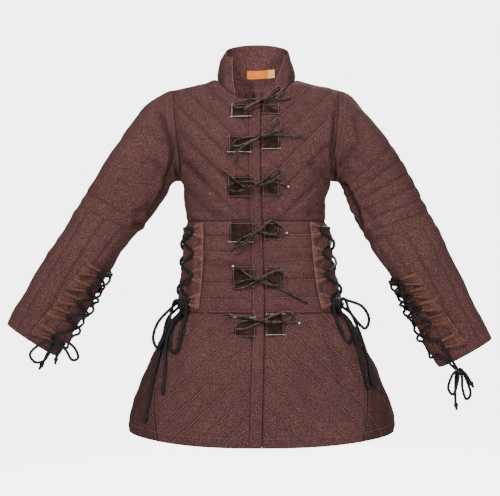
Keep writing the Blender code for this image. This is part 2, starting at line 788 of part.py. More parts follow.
def strip_step(side, face, station):
    """Where a forearm strip lies round the sleeve at a station."""
    ends = (ARM_STRIP_TOP, ARM_STRIP_CUFF) if face == FRONT else (ARM_BACK_TOP, ARM_BACK_CUFF)
    first, last = ARM_TABS[side][0], ARM_TABS[side][-1]
    return mix(*ends, (station - first) / (last - first))


def tab_half(side, station):
    """Half a tab's height, as a share of a station."""
    run = (sleeve_point(side, station + 0.1, 4) - sleeve_point(side, station - 0.1, 4)).length / 0.2
    return ARM_TAB_TALL / 2 / run


def make_tabs(tab_cloth):
    spans = [(z - WAIST_TAB_TALL / 2, z + WAIST_TAB_TALL / 2) for z in WAIST_TAB_Z]
    for side in (LEFT, RIGHT):
        for face, tag in ((FRONT, "front"), (BACK, "back")):
            comb(f"waist_tabs_{tag}_{SIDE_NAME[side]}",
                 lambda turn, z, lift: on_waist(side, turn, z, lift),
                 list(WAIST_STRIP[face]), list(WAIST_TAB_REACH[face]), spans, tab_cloth, side)
            reach = 1 if face == FRONT else -1
            arm_spans = [(s + tab_half(side, s), s - tab_half(side, s)) for s in reversed(ARM_TABS[side])]
            offsets = [0.0, reach * ARM_STRIP_WIDE, reach * (ARM_STRIP_WIDE + ARM_TAB_LONG / 2),
                       reach * (ARM_STRIP_WIDE + ARM_TAB_LONG)]
            comb(f"arm_tabs_{tag}_{SIDE_NAME[side]}",
                 lambda step, s, lift: on_sleeve(side, strip_step(side, face, s) + step, s, lift),
                 offsets[:2], offsets[2:], arm_spans, tab_cloth, -side)

# ---------------------------------------------------------------- cords and thongs

CORD = 0.0055            # diameter of the waist cords
ARM_CORD = 0.0050
THONG = 0.0028           # side of a square leather thong
CORD_SIDES = 6
CORD_STEP = 3.0          # a point every so many diameters along a cord
BOW_BEND = 55.0          # and every so many degrees of turning in a bow
THONG_STEP = 4.6
TAB_TOP = TAB_LIFT + TAB_THICK
EYE_REST = 0.0024        # a cord stands this far off a tab
LOW_CROSS = 0.0072       # heights of the two strands where a lacing crosses
HIGH_CROSS = 0.0136


def smooth_route(points, step, bend=None):
    """Points about a step apart along a smooth curve through a route's own points.

    Where bend is given, every so many degrees of turning count as a step too.
    """
    padded_ends = [2 * points[0] - points[1]] + list(points) + [2 * points[-1] - points[-2]]
    dense = []
    for a, b, c, d in zip(padded_ends, padded_ends[1:], padded_ends[2:], padded_ends[3:]):
        for part in range(16):
            t = part / 16
            dense.append(0.5 * (2 * b + (c - a) * t + (2 * a - 5 * b + 4 * c - d) * t * t
                                + (3 * b - a - 3 * c + d) * t ** 3))
    dense.append(points[-1].copy())
    costs = [0.0]
    for i in range(1, len(dense)):
        run = dense[i] - dense[i - 1]
        cost = run.length / step
        if bend and i > 1:
            cost += math.degrees(run.angle(dense[i - 1] - dense[i - 2], 0.0)) / bend
        costs.append(costs[-1] + cost)
    count = max(2, round(costs[-1]))
    result = [dense[0]]
    for i in range(1, len(dense)):
        while len(result) < count and costs[i] >= costs[-1] * len(result) / count - 1e-9:
            result.append(dense[i])
    return result + [dense[-1]]


def cord(name, route, diameter, finish, bend=None):
    """A round cord as a bevelled curve with closed ends."""
    points = smooth_route(route, diameter * CORD_STEP, bend)
    curve = bpy.data.curves.new(name, "CURVE")
    curve.dimensions = "3D"
    curve.bevel_depth = diameter / 2
    curve.bevel_resolution = CORD_SIDES // 2 - 2
    curve.use_fill_caps = True
    spline = curve.splines.new("POLY")
    spline.points.add(len(points) - 1)
    for spot, point in zip(spline.points, points):
        spot.co = (*point, 1.0)
    curve.materials.append(finish)
    solid = bpy.data.objects.new(name, curve)
    bpy.context.scene.collection.objects.link(solid)
    return solid


def thong(name, route, finish):
    """A square leather thong swept along its route."""
    points = smooth_route(route, THONG * THONG_STEP)
    mesh = bmesh.new()
    rings = []
    across_way = Vector((0, -1, 0))
    for i, point in enumerate(points):
        ahead = (points[min(i + 1, len(points) - 1)] - points[max(i - 1, 0)]).normalized()
        across_way = (across_way - ahead * across_way.dot(ahead)).normalized()
        beside = ahead.cross(across_way)
        rings.append([mesh.verts.new(point + (across_way * a + beside * b) * THONG / 2)
                      for a, b in ((1, 1), (-1, 1), (-1, -1), (1, -1))])
    for low, high in zip(rings, rings[1:]):
        for k in range(4):
            mesh.faces.new((low[k], low[(k + 1) % 4], high[(k + 1) % 4], high[k]))
    mesh.faces.new(list(reversed(rings[0])))
    mesh.faces.new(rings[-1])
    bmesh.ops.recalc_face_normals(mesh, faces=mesh.faces)
    bmesh.ops.triangulate(mesh, faces=mesh.faces)
    return finish_solid(name, mesh, finish)


# The ties, each from its right end through the two loops of its bow to its
# left end. x and z are millimetres from the knot, seen from the front.
TIE_KNOTS = [(0.006, -0.063), (0.001, -0.143), (-0.003, -0.240),
             (-0.001, -0.341), (0.001, -0.445), (0.010, -0.535)]
TIE_ROUTES = [
    [(67, 11), (49, 4), (26, 6), (4, 2), (-17, 4), (-41, 0), (-58, -6), (-49, -15), (-24, -11), (0, -4),
     (17, 13), (37, 30), (47, 24), (30, 9), (4, -2), (-17, -13), (-34, -24)],
    [(97, 4), (69, 4), (37, 6), (9, 2), (-17, 2), (-43, -4), (-54, -15), (-39, -17), (-13, -6), (4, 0),
     (19, 17), (41, 39), (49, 24), (28, 9), (2, -2), (-22, -15), (-43, -30), (-62, -47)],
    [(69, -6), (54, 0), (26, 6), (4, 2), (-17, 4), (-43, 2), (-56, -9), (-43, -17), (-19, -11), (2, -2),
     (22, 13), (41, 30), (52, 19), (30, 4), (2, -4), (-24, -6), (-52, 15), (-73, 34)],
    [(64, -4), (45, -11), (22, -6), (2, 0), (-15, -9), (-34, -19), (-45, -32), (-30, -32), (-13, -17),
     (2, -2), (15, 11), (32, 22), (52, 4), (32, -9), (2, -4), (-19, -19), (-39, -34), (-54, -45)],
    [(105, -54), (80, -39), (47, -22), (22, -9), (2, 0), (-19, -2), (-43, -9), (-49, -22), (-30, -19),
     (-13, -11), (2, -2), (22, 11), (47, 17), (54, -2), (37, -15), (4, -6), (-22, 9), (-37, 22), (-52, 28)],
    [(80, -6), (56, -4), (28, -2), (2, 0), (-22, 0), (-47, -4), (-56, -17), (-34, -17), (-15, -9), (2, -2),
     (24, 11), (54, 19), (64, 9), (39, -4), (4, -4), (-26, 4), (-54, 9), (-80, 11)],
]
KNOT_REACH = 12          # millimetres around the knot where strands lie on each other
PASS_LIFTS = (0.0082, 0.0126, 0.0170)


def tie_lifts(route):
    """Height of each point: a pass over the knot lies on the pass before it."""
    passes = 0
    lifts = []
    inside = False
    for x, z in route:
        near = math.hypot(x, z) < KNOT_REACH
        if inside and not near:
            passes = min(passes + 1, len(PASS_LIFTS))
        inside = near
        layer = passes if near else max(passes - 1, 0)
        lifts.append(PASS_LIFTS[min(layer, len(PASS_LIFTS) - 1)])
    return lifts


def make_ties(leather):
    for number, (knot, route, patch) in enumerate(zip(TIE_KNOTS, TIE_ROUTES, PATCHES), 1):
        spots = [on_front(knot[0] + x / 1000, knot[1] + z / 1000, lift - patch.sink)
                 for (x, z), lift in zip(route, tie_lifts(route))]
        thong(f"tie_{number}", spots, leather)


# Bows at the waist, in millimetres from the knot: outward, up, and lift off the
# cloth, from one free end through the two loops to the other. Each pass over
# the knot lies on the one before.
WAIST_KNOTS = {RIGHT: (0.180, -0.494), LEFT: (0.176, -0.490)}    # out from the middle, height
WAIST_BOWS = {
    RIGHT: [
        (65, -265, 7), (57, -219, 7), (51, -175, 7), (42, -140, 7), (31, -98, 7), (20, -45, 9),
        (17, -14, 14), (9, 0, 15.5), (-6, 1, 15.5), (-17, -7, 17), (-21, -28, 13), (-16, -65, 8.5),
        (-8, -103, 8), (2, -112, 8), (10, -100, 8.5), (6, -62, 11), (-4, -30, 18), (-14, -14, 22.4),
        (-13, -3, 23), (-5, 1, 22.3), (9, 0, 22), (20, -8, 21), (37, -47, 18), (50, -82, 18.5),
        (42, -106, 18), (28, -91, 18), (17, -56, 20), (18, -24, 26), (17, -8, 28.6), (8, 1, 28.3),
        (-6, 1, 28.7), (-15, -7, 29.4), (-9, -26, 27), (5, -50, 25.5), (14, -70, 24.5),
        (20, -94, 19), (21, -122, 12), (20, -145, 8), (24, -202, 7),
    ],
    LEFT: [
        (66, -196, 7), (57, -172, 7), (53, -136, 7), (44, -103, 7), (33, -70, 7.5), (20, -37, 9),
        (17, -14, 14), (9, 0, 16.4), (-6, 1, 16.4), (-17, -7, 17), (-19, -32, 13), (-10, -64, 8.5),
        (1, -91, 8), (11, -96, 8), (19, -80, 8.5), (11, -50, 11), (-3, -26, 18), (-14, -14, 22.4),
        (-13, -3, 23), (-5, 1, 22.3), (9, 0, 22), (24, -3, 22.5), (40, -18, 25), (55, -46, 24),
        (47, -68, 21), (29, -52, 20), (19, -26, 26), (17, -8, 28.6), (8, 1, 28.3), (-6, 1, 28.7),
        (-15, -7, 29.4), (-9, -25, 27), (5, -45, 24.5), (16, -66, 23), (23, -86, 17),
        (31, -114, 8.5), (40, -158, 7), (52, -198, 7),
    ],
}

# Bows at the cuffs: x, y and z in millimetres, from one free end to the other.
ARM_BOWS = {
    RIGHT: [
        (-478, -70, -644), (-469, -71, -630), (-458, -71, -606), (-447, -69, -590), (-437, -66, -584),
        (-418, -62, -584), (-401, -58, -599), (-394, -57, -619), (-407, -60, -624), (-419, -66, -603),
        (-435, -72, -586), (-456, -77, -583), (-480, -78, -592), (-496, -78, -610), (-485, -78, -627),
        (-466, -78, -624), (-452, -79, -605), (-437, -79, -586), (-431, -81, -596), (-437, -80, -612),
        (-441, -79, -632),
    ],
    LEFT: [
        (436, -75, -732), (433, -75, -710), (433, -75, -681), (434, -74, -659), (438, -73, -646),
        (446, -73, -643), (454, -74, -658), (466, -76, -694), (456, -77, -708), (448, -77, -684),
        (447, -78, -662), (443, -79, -647), (436, -80, -645), (424, -82, -657), (416, -83, -683),
        (427, -83, -697), (436, -83, -672), (439, -85, -652), (447, -86, -647), (456, -86, -656),
        (471, -84, -682),
    ],
}

WAIST_EYES = (55.6, 101.8)       # turns of the eyelets, front and back
WAIST_RISE = 0.011               # height of the cord's turn at an eyelet
LACE_END = (0.005, 0, 0.0094)    # where a waist lace ends beside the knot
BOW_CLEAR = 0.0070               # a bow's strands lie this far off the cloth, and lift towards the front
KNOT_TURN = 61                   # where a knot rests on the body
KNOT_SIZE = 0.022                # a bow's strands lie squarely this near its knot
SIDE_SHARE = 0.95                # past this share of the half width a cord hangs free
ARM_EYE_STEP = 1.50              # from the strip to the eyelets, in steps
HOME_LIFT = 0.0070               # lift of a lace's last stretch to its bow
ARM_LACE_ENDS = {
    RIGHT: ((-0.4320, -0.0606, -0.5800), (-0.4430, -0.0606, -0.5900)),
    LEFT: ((0.4420, -0.0678, -0.6440), (0.4310, -0.0670, -0.6400)),
}


def hanging(side, out, z, lift):
    """A place in front of the body's side, by its distance from the middle."""
    half = body("half", z)
    share = min(out / half, SIDE_SHARE)
    turn = math.degrees(math.asin(share ** (TURN / 2)))
    beside = Vector((side * (out - share * half), BOW_CLEAR - lift, 0))
    return on_waist(side, turn, z, BOW_CLEAR) + beside


def at_knot(side, out, up, lift):
    """A place on a waist bow: squarely over its knot, and hanging free further off."""
    knot_out, knot_z = WAIST_KNOTS[side]
    base = on_waist(side, KNOT_TURN, knot_z, 0)
    outward = on_waist(side, KNOT_TURN, knot_z, 1) - base
    outward = Vector((outward.x, outward.y, 0)).normalized()
    tangent = Vector((-outward.y, outward.x, 0)) * side
    square = base + tangent * out + outward * lift + Vector((0, 0, up))
    free = hanging(side, knot_out + out, knot_z + up, lift)
    share = min(max((math.hypot(out, up) - KNOT_SIZE) / KNOT_SIZE, 0.0), 1.0)
    return square.lerp(free, share)


def laced(place, rows, rise, diameter):
    """One cord laced up through a column of tabs and down again.

    place(u, row, lift) gives a point, with u from 0 at the front eyelets to 1
    at the back ones. Each eyelet takes two points, so that the cord turns in
    it without a kink, and each crossing takes three.
    """
    eyelet = TAB_TOP + diameter / 2 + EYE_REST
    up = [(i % 2, row) for i, row in enumerate(rows)]
    down = [(1 - u, row) for u, row in reversed(up)]
    route = []
    for way, climb, cross in ((up, rise, LOW_CROSS), (down, -rise, HIGH_CROSS)):
        for i, (u, row) in enumerate(way):
            start = row + climb / 2
            route += [place(u, row - climb / 2, eyelet), place(u, start, eyelet)]
            if i < len(way) - 1:
                goal = way[i + 1][1] - climb / 2
                for share, lift in ((0.22, (cross + eyelet) / 2), (0.5, cross), (0.78, (cross + eyelet) / 2)):
                    route.append(place(mix(u, 1 - u, share), mix(start, goal, share), lift))
        if way is up:
            side = up[-1][0]
            for share in (0.25, 0.5, 0.75):
                route.append(place(mix(side, 1 - side, share), rows[-1] + rise / 2, LOW_CROSS))
    return route


def make_cords(black):
    for side in (LEFT, RIGHT):
        tag = SIDE_NAME[side]

        def at_waist(u, z, lift):
            return on_waist(side, mix(*WAIST_EYES, u), z, lift)

        out, up, lift = LACE_END
        ends = [at_knot(side, reach, up, lift) for reach in (-out, out)]
        homeward = [at_waist(u, WAIST_TAB_Z[0] - WAIST_RISE, HOME_LIFT) for u in (0.8, 0.6, 0.4)]
        route = ends[:1] + laced(at_waist, WAIST_TAB_Z, WAIST_RISE, CORD) + homeward + ends[1:]
        cord("lace_waist_" + tag, route, CORD, black)
        bow = [at_knot(side, *(value / 1000 for value in spot)) for spot in WAIST_BOWS[side]]
        cord("bow_waist_" + tag, bow, CORD, black, BOW_BEND)

        def at_arm(u, station, lift):
            front = strip_step(side, FRONT, station) + ARM_EYE_STEP
            back = strip_step(side, BACK, station) - ARM_EYE_STEP
            return on_sleeve(side, mix(front, back, u), station, lift)

        rows = tuple(reversed(ARM_TABS[side]))
        rise = -2 * tab_half(side, rows[2]) * 0.3
        first, last = (Vector(end) for end in ARM_LACE_ENDS[side])
        homeward = [at_arm(u, rows[0] - rise * 0.9, HOME_LIFT) for u in (0.8, 0.6, 0.4, 0.2)]
        route = [first] + laced(at_arm, rows, rise, ARM_CORD) + homeward + [last]
        cord("lace_arm_" + tag, route, ARM_CORD, black)
        cord("bow_arm_" + tag, [Vector(p) / 1000 for p in ARM_BOWS[side]], ARM_CORD, black, BOW_BEND)


def main():
    for old in list(bpy.data.objects):
        bpy.data.objects.remove(old)
    cloth = make_finish("quilted_cloth", (0.10, 0.045, 0.042), 0.90)
    suede = make_finish("suede", (0.035, 0.020, 0.012), 0.95)
    tab_cloth = make_finish("tab_cloth", (0.16, 0.075, 0.05), 0.90)
    label_weave = make_finish("label_weave", (0.50, 0.20, 0.05), 0.80)
    leather = make_finish("tie_leather", (0.020, 0.012, 0.009), 0.55)
    black = make_finish("black_cord", (0.010, 0.010, 0.011), 0.70)
    make_body(cloth)
    make_collar(cloth, label_weave)
    make_patches(suede)
    make_tabs(tab_cloth)
    make_ties(leather)
    make_cords(black)


main()
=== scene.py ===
"""Looks of the gambeson: fine quilted cloth, stitches, suede, tabs, thongs and cords.

Metres, +Z up, front towards -Y, the wearer's left towards +X. The tables and
the form functions give the same surfaces as the part's own source, so every
piece lies where its solid does. Each cloth piece is refined from its form to
small cells, raised between its quilting lines and creased.
"""
import math
from collections import namedtuple

import bpy
import bmesh
import numpy as np
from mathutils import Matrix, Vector, noise


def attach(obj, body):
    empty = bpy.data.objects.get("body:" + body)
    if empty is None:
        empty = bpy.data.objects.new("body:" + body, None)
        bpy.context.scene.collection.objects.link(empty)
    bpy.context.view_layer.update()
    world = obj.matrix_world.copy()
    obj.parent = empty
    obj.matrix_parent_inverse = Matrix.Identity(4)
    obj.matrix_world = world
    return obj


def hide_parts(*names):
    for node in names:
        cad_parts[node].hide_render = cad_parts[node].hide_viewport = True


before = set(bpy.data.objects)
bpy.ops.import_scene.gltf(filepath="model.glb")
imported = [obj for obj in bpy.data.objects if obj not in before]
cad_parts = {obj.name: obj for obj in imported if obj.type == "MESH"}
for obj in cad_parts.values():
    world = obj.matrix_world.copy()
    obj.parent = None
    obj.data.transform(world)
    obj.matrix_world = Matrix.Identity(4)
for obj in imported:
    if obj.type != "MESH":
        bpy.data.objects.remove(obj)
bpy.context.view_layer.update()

# ---------------------------------------------------------------- sizes

SEAM_GAP = 0.0004        # clear space between two sewn edges
WALL = 0.0045            # padded cloth at a quilting line
PUFF = 0.0030            # how far the solids' padding swells between the lines
BAND_PUFF = 0.0016       # how far the folded front band stands proud
TURN = 2.3               # roundness of the body section, 2 is an ellipse

SHOULDER_Z = -0.022      # outer end of the shoulder seam
ARMPIT_Z = -0.2295
CHEST_Z = -0.319         # seam between chest and waist
WAIST_Z = -0.519         # seam between waist and skirt
HEM_Z = -0.800
HEM_RISE = 0.016         # the hem is this much higher at the sides

NECK_HALF = 0.0866       # half width of the neck at the shoulder
NECK_DROP_FRONT = 0.053
NECK_DROP_BACK = 0.010
SHOULDER_SLOPE = 0.225   # fall of the shoulder for each metre outward
SHOULDER_ROUND = 0.130   # height over which the shoulder rounds over

BAND_WIDTH = 0.0245      # folded band along the front opening
COLUMNS = 8              # columns of cloth cells in a quarter of the body
CHEST_LOW_ROWS = 3       # rows from the waist seam to the armpit
WAIST_ROWS = 12
SKIRT_ROWS = 10
GORE_COLUMNS = 6
GORE_TOP_TURN = 86.0     # degrees from the front where a gore starts
GORE_HEM_TURN = 43.0
WAIST_FRONT_COLUMNS = 4  # the front waist piece ends at this column
WAIST_BACK_COLUMNS = 6
SLEEVE_RINGS = 20
HEAD_STATIONS = 4        # the sleeve keeps the armhole's shape this far down
COLLAR_ROWS = 3

LEFT, RIGHT = 1, -1      # the wearer's sides along X
FRONT, BACK = -1, 1      # along Y
SIDE_NAME = {LEFT: "left", RIGHT: "right"}

# Body sections from the shoulders down to the hem.
Level = namedtuple("Level", "z middle half front back")
BODY = [Level(*row) for row in (
    (0.000, -0.002, 0.1845, 0.078, 0.094),
    (-0.030, -0.002, 0.1840, 0.083, 0.098),
    (-0.070, -0.002, 0.1820, 0.094, 0.104),
    (-0.120, -0.002, 0.1780, 0.108, 0.110),
    (-0.170, -0.002, 0.1710, 0.116, 0.112),
    (-0.2295, -0.002, 0.1665, 0.118, 0.110),
    (-0.270, -0.004, 0.1570, 0.115, 0.105),
    (-0.319, -0.002, 0.1555, 0.111, 0.100),
    (-0.360, 0.001, 0.1580, 0.111, 0.099),
    (-0.414, 0.003, 0.1620, 0.112, 0.101),
    (-0.468, 0.005, 0.1700, 0.115, 0.107),
    (-0.519, 0.008, 0.1840, 0.120, 0.115),
    (-0.560, 0.008, 0.2080, 0.129, 0.125),
    (-0.612, 0.009, 0.2370, 0.140, 0.137),
    (-0.666, 0.010, 0.2600, 0.150, 0.148),
    (-0.720, 0.010, 0.2800, 0.160, 0.158),
    (-0.774, 0.010, 0.2960, 0.168, 0.166),
    (-0.800, 0.010, 0.3010, 0.172, 0.170),
)]

# The armhole edge of the chest pieces: its height as a share of the way from
# armpit to shoulder, its place across the body, and how far round the section
# has turned there, in degrees from the front.
Hole = namedtuple("Hole", "rise edge turn")
ARMHOLE = [Hole(*row) for row in (
    (0.00, 0.1665, 90.0), (0.14, 0.1680, 72.0), (0.28, 0.1700, 62.0),
    (0.42, 0.1740, 56.0), (0.56, 0.1770, 51.0), (0.70, 0.1800, 48.0),
    (0.82, 0.1825, 46.5), (0.93, 0.1840, 46.0), (1.00, 0.1845, 46.0),
)]

CHEST_ROWS = CHEST_LOW_ROWS + len(ARMHOLE) - 1
ARMHOLE_STEPS = len(ARMHOLE) - 1
SLEEVE_POINTS = 2 * ARMHOLE_STEPS

# Where the columns of the chest meet the neck and the shoulder seam.
TOP_SPREAD = [0.0, 0.016, 0.036, 0.062, NECK_HALF, 0.111, 0.136, 0.161, 0.1845]

# The front opening wanders a little from the middle.
Opening = namedtuple("Opening", "z x")
OPENING = [Opening(*row) for row in (
    (0.000, 0.0080), (-0.200, 0.0060), (-0.330, 0.0100), (-0.500, 0.0145),
    (-0.600, 0.0135), (-0.800, 0.0085),
)]

# Sleeves, from the armhole to the cuff: the upper edge, the lower edge, half
# the depth from front to back, and how far the sleeve swings to the front. The
# rows are one station apart.
Arm = namedtuple("Arm", "station top_x top_z low_x low_z half_depth swing")
SLEEVES = {side: [Arm(station, *row) for station, row in enumerate(rows)] for side, rows in {
    RIGHT: (
        (0.1845, -0.022, 0.1685, -0.2295, 0.074, 0.000),
        (0.2180, -0.034, 0.1800, -0.2270, 0.074, 0.000),
        (0.2530, -0.063, 0.1880, -0.2290, 0.073, 0.000),
        (0.2880, -0.108, 0.1950, -0.2360, 0.070, 0.001),
        (0.3190, -0.155, 0.2020, -0.2510, 0.067, 0.002),
        (0.3465, -0.198, 0.2170, -0.2780, 0.064, 0.003),
        (0.3710, -0.236, 0.2410, -0.3110, 0.061, 0.004),
        (0.3980, -0.279, 0.2680, -0.3430, 0.058, 0.006),
        (0.4250, -0.324, 0.2950, -0.3760, 0.056, 0.008),
        (0.4520, -0.367, 0.3200, -0.4110, 0.054, 0.010),
        (0.4750, -0.405, 0.3400, -0.4430, 0.052, 0.012),
        (0.4970, -0.441, 0.3590, -0.4780, 0.050, 0.014),
        (0.5180, -0.477, 0.3780, -0.5130, 0.047, 0.016),
        (0.5390, -0.512, 0.4010, -0.5500, 0.044, 0.018),
        (0.5580, -0.545, 0.4430, -0.6200, 0.041, 0.020),
    ),
    LEFT: (
        (0.1845, -0.022, 0.1645, -0.2295, 0.074, 0.000),
        (0.2110, -0.041, 0.1740, -0.2270, 0.073, 0.000),
        (0.2390, -0.070, 0.1820, -0.2280, 0.072, 0.000),
        (0.2700, -0.108, 0.1890, -0.2340, 0.070, 0.001),
        (0.2990, -0.146, 0.1950, -0.2470, 0.067, 0.002),
        (0.3240, -0.187, 0.2025, -0.2680, 0.064, 0.003),
        (0.3480, -0.228, 0.2110, -0.2950, 0.061, 0.004),
        (0.3710, -0.269, 0.2260, -0.3250, 0.058, 0.006),
        (0.3920, -0.310, 0.2450, -0.3560, 0.056, 0.008),
        (0.4120, -0.350, 0.2650, -0.3860, 0.054, 0.010),
        (0.4320, -0.392, 0.2860, -0.4170, 0.052, 0.012),
        (0.4510, -0.433, 0.3070, -0.4530, 0.050, 0.014),
        (0.4700, -0.474, 0.3270, -0.4920, 0.047, 0.016),
        (0.4890, -0.516, 0.3500, -0.5400, 0.044, 0.018),
        (0.5240, -0.578, 0.4050, -0.6440, 0.041, 0.020),
    ),
}.items()}

# ---------------------------------------------------------------- reading the tables


def ease(table, column, key, value):
    """Read a column of a table at a key, on a smooth curve through its rows."""
    rows = sorted(table, key=lambda row: getattr(row, key))
    spots = [getattr(row, key) for row in rows]
    held = [getattr(row, column) for row in rows]
    value = min(max(value, spots[0]), spots[-1])
    place = max(i for i in range(len(spots) - 1) if spots[i] <= value)
    before = max(place - 1, 0)
    after = min(place + 2, len(spots) - 1)
    span = spots[place + 1] - spots[place]
    slope_in = (held[place + 1] - held[before]) / (spots[place + 1] - spots[before])
    slope_out = (held[after] - held[place]) / (spots[after] - spots[place])
    t = (value - spots[place]) / span
    return (
        held[place] * (1 + 2 * t) * (1 - t) ** 2
        + slope_in * span * t * (1 - t) ** 2
        + held[place + 1] * t * t * (3 - 2 * t)
        - slope_out * span * t * t * (1 - t)
    )


def body(column, z):
    return ease(BODY, column, "z", z)


def opening_x(z):
    return ease(OPENING, "x", "z", z)


def mix(a, b, t):
    return a + (b - a) * t


def across(turn):
    """Share of the half width reached by a section after turning from the front."""
    return math.sin(math.radians(turn)) ** (2 / TURN)


def along(share):
    """Share of the depth left at a share of the half width."""
    return max(0.0, 1 - min(abs(share), 1.0) ** TURN) ** (1 / TURN)


# ---------------------------------------------------------------- the body form


def edge_inset(side, face, z):
    """How far from the middle a front piece starts. The right one stops at the band."""
    if face == BACK:
        return 0.0
    opening = opening_x(z) - body("middle", z)
    return opening + SEAM_GAP if side == LEFT else BAND_WIDTH - opening


def body_point(side, face, turn, z):
    """A point of the body below the armpit, by its turn from the front or the back."""
    half = body("half", z)
    depth = body("front" if face == FRONT else "back", z)
    inset = edge_inset(side, face, z)
    x = inset + half * across(turn) * (1 - inset / half)
    return Vector((body("middle", z) + side * x, face * depth * along(x / half), z))


def shoulder_line(x):
    return -SHOULDER_SLOPE * (abs(x) - NECK_HALF)


def top_edge(face, x):
    """Height of the neck edge, and of the shoulder seam outside it."""
    if x >= NECK_HALF:
        return mix(0.0, SHOULDER_Z, (x - NECK_HALF) / (TOP_SPREAD[-1] - NECK_HALF))
    drop = NECK_DROP_FRONT if face == FRONT else NECK_DROP_BACK
    return -drop * (1 - (x / NECK_HALF) ** 2)


def chest_point(side, face, column, row):
    """A point of the chest, from the waist seam (row 0) to the neck and shoulder."""
    share = column / COLUMNS
    rise = 0.0
    if row <= CHEST_LOW_ROWS:
        edge_z = mix(CHEST_Z, ARMPIT_Z, row / CHEST_LOW_ROWS)
        edge = half = body("half", edge_z)
        turn = 90.0
    else:
        hole = ARMHOLE[row - CHEST_LOW_ROWS]
        rise = hole.rise
        turn = hole.turn
        edge = hole.edge
        edge_z = mix(ARMPIT_Z, SHOULDER_Z, rise)
        half = edge / across(turn)
    x = mix(half * across(share * turn), TOP_SPREAD[column] * edge / TOP_SPREAD[-1], rise**2)
    lift = (edge_z - CHEST_Z) / (SHOULDER_Z - CHEST_Z)
    z = mix(CHEST_Z, top_edge(face, TOP_SPREAD[column]), lift)
    faded = mix(edge, NECK_HALF, rise**2)
    x += edge_inset(side, face, z) * max(0.0, 1 - x / faded)
    depth = body("front" if face == FRONT else "back", z)
    round_off = min(1.0, max(0.0, (shoulder_line(x) - z) / SHOULDER_ROUND))
    if row == CHEST_ROWS and x >= NECK_HALF - 1e-6:
        round_off = 0.0
    y = face * depth * along(x / half) * math.sqrt(1 - (1 - round_off) ** 2)
    return Vector((body("middle", z) + side * x, y, z))


def waist_point(side, face, column, row):
    z = mix(WAIST_Z, CHEST_Z, row / WAIST_ROWS)
    return body_point(side, face, 90.0 * column / COLUMNS, z)


def hem_z(turn):
    return HEM_Z + HEM_RISE * math.sin(math.radians(turn)) ** 2


def gore_turn(row):
    """How far round from the front a gore starts, at a row counted up from the hem."""
    drop = 1 - row / SKIRT_ROWS
    return mix(GORE_TOP_TURN, GORE_HEM_TURN, drop**0.8)


def below_waist(side, face, turn, row):
    return body_point(side, face, turn, mix(hem_z(turn), WAIST_Z, row / SKIRT_ROWS))


def skirt_point(side, face, column, row):
    return below_waist(side, face, gore_turn(row) * column / COLUMNS, row)


def gore_point(side, column, row):
    """A gore runs round the side from its front edge to its back edge."""
    start = gore_turn(row)
    turn = mix(start, 180.0 - start, column / GORE_COLUMNS)
    if column <= GORE_COLUMNS / 2:
        return below_waist(side, FRONT, turn, row)
    return below_waist(side, BACK, 180.0 - turn, row)


# ---------------------------------------------------------------- the sleeves


def armhole_point(side, step):
    """The armhole edge, down the front from the shoulder and up the back."""
    face = FRONT if step <= ARMHOLE_STEPS else BACK
    rows_down = step if face == FRONT else SLEEVE_POINTS - step
    return chest_point(side, face, COLUMNS, CHEST_ROWS - rows_down)


def sleeve_point(side, station, step):
    """A point of a sleeve, by its station (0 is the armhole) and its step round."""

    def arm(column):
        return ease(SLEEVES[side], column, "station", station)

    top = Vector((arm("top_x"), 0.0, arm("top_z")))
    low = Vector((arm("low_x"), 0.0, arm("low_z")))
    angle = 2 * math.pi * step / SLEEVE_POINTS
    up, out = (math.copysign(abs(part) ** (2 / TURN), part) for part in (math.cos(angle), math.sin(angle)))
    head = max(0.0, 1 - station / HEAD_STATIONS)
    if head > 0:
        hole = armhole_point(side, step)
        middle_z = (SHOULDER_Z + ARMPIT_Z) / 2
        up = mix(up, (hole.z - middle_z) / (SHOULDER_Z - middle_z), head)
        out = mix(out, -hole.y / SLEEVES[side][0].half_depth, head)
    spot = (top + low) / 2 + (top - low) / 2 * up
    spot.x *= side
    spot.y = -arm("swing") - arm("half_depth") * out
    return spot


# ---------------------------------------------------------------- grids of the cloth forms

NORMALS = {}             # summed face normals of all cloth forms, by point


def key_of(point):
    return tuple(round(c, 6) for c in point)


def quads(rows, columns, wrap):
    for i in range(rows - 1):
        for j in range(columns if wrap else columns - 1):
            yield i, j, i + 1, (j + 1) % columns


def note_normals(grid, wrap, outward):
    """Add a form's face normals to the shared sums, so seams agree on one normal."""
    for i, j, up, on in quads(len(grid), len(grid[0]), wrap):
        corners = (grid[i][j], grid[i][on], grid[up][on], grid[up][j])
        normal = (corners[2] - corners[0]).cross(corners[3] - corners[1]) * outward
        for corner in corners:
            NORMALS[key_of(corner)] = NORMALS.get(key_of(corner), Vector()) + normal


def normal_at(point):
    return NORMALS[key_of(point)].normalized()


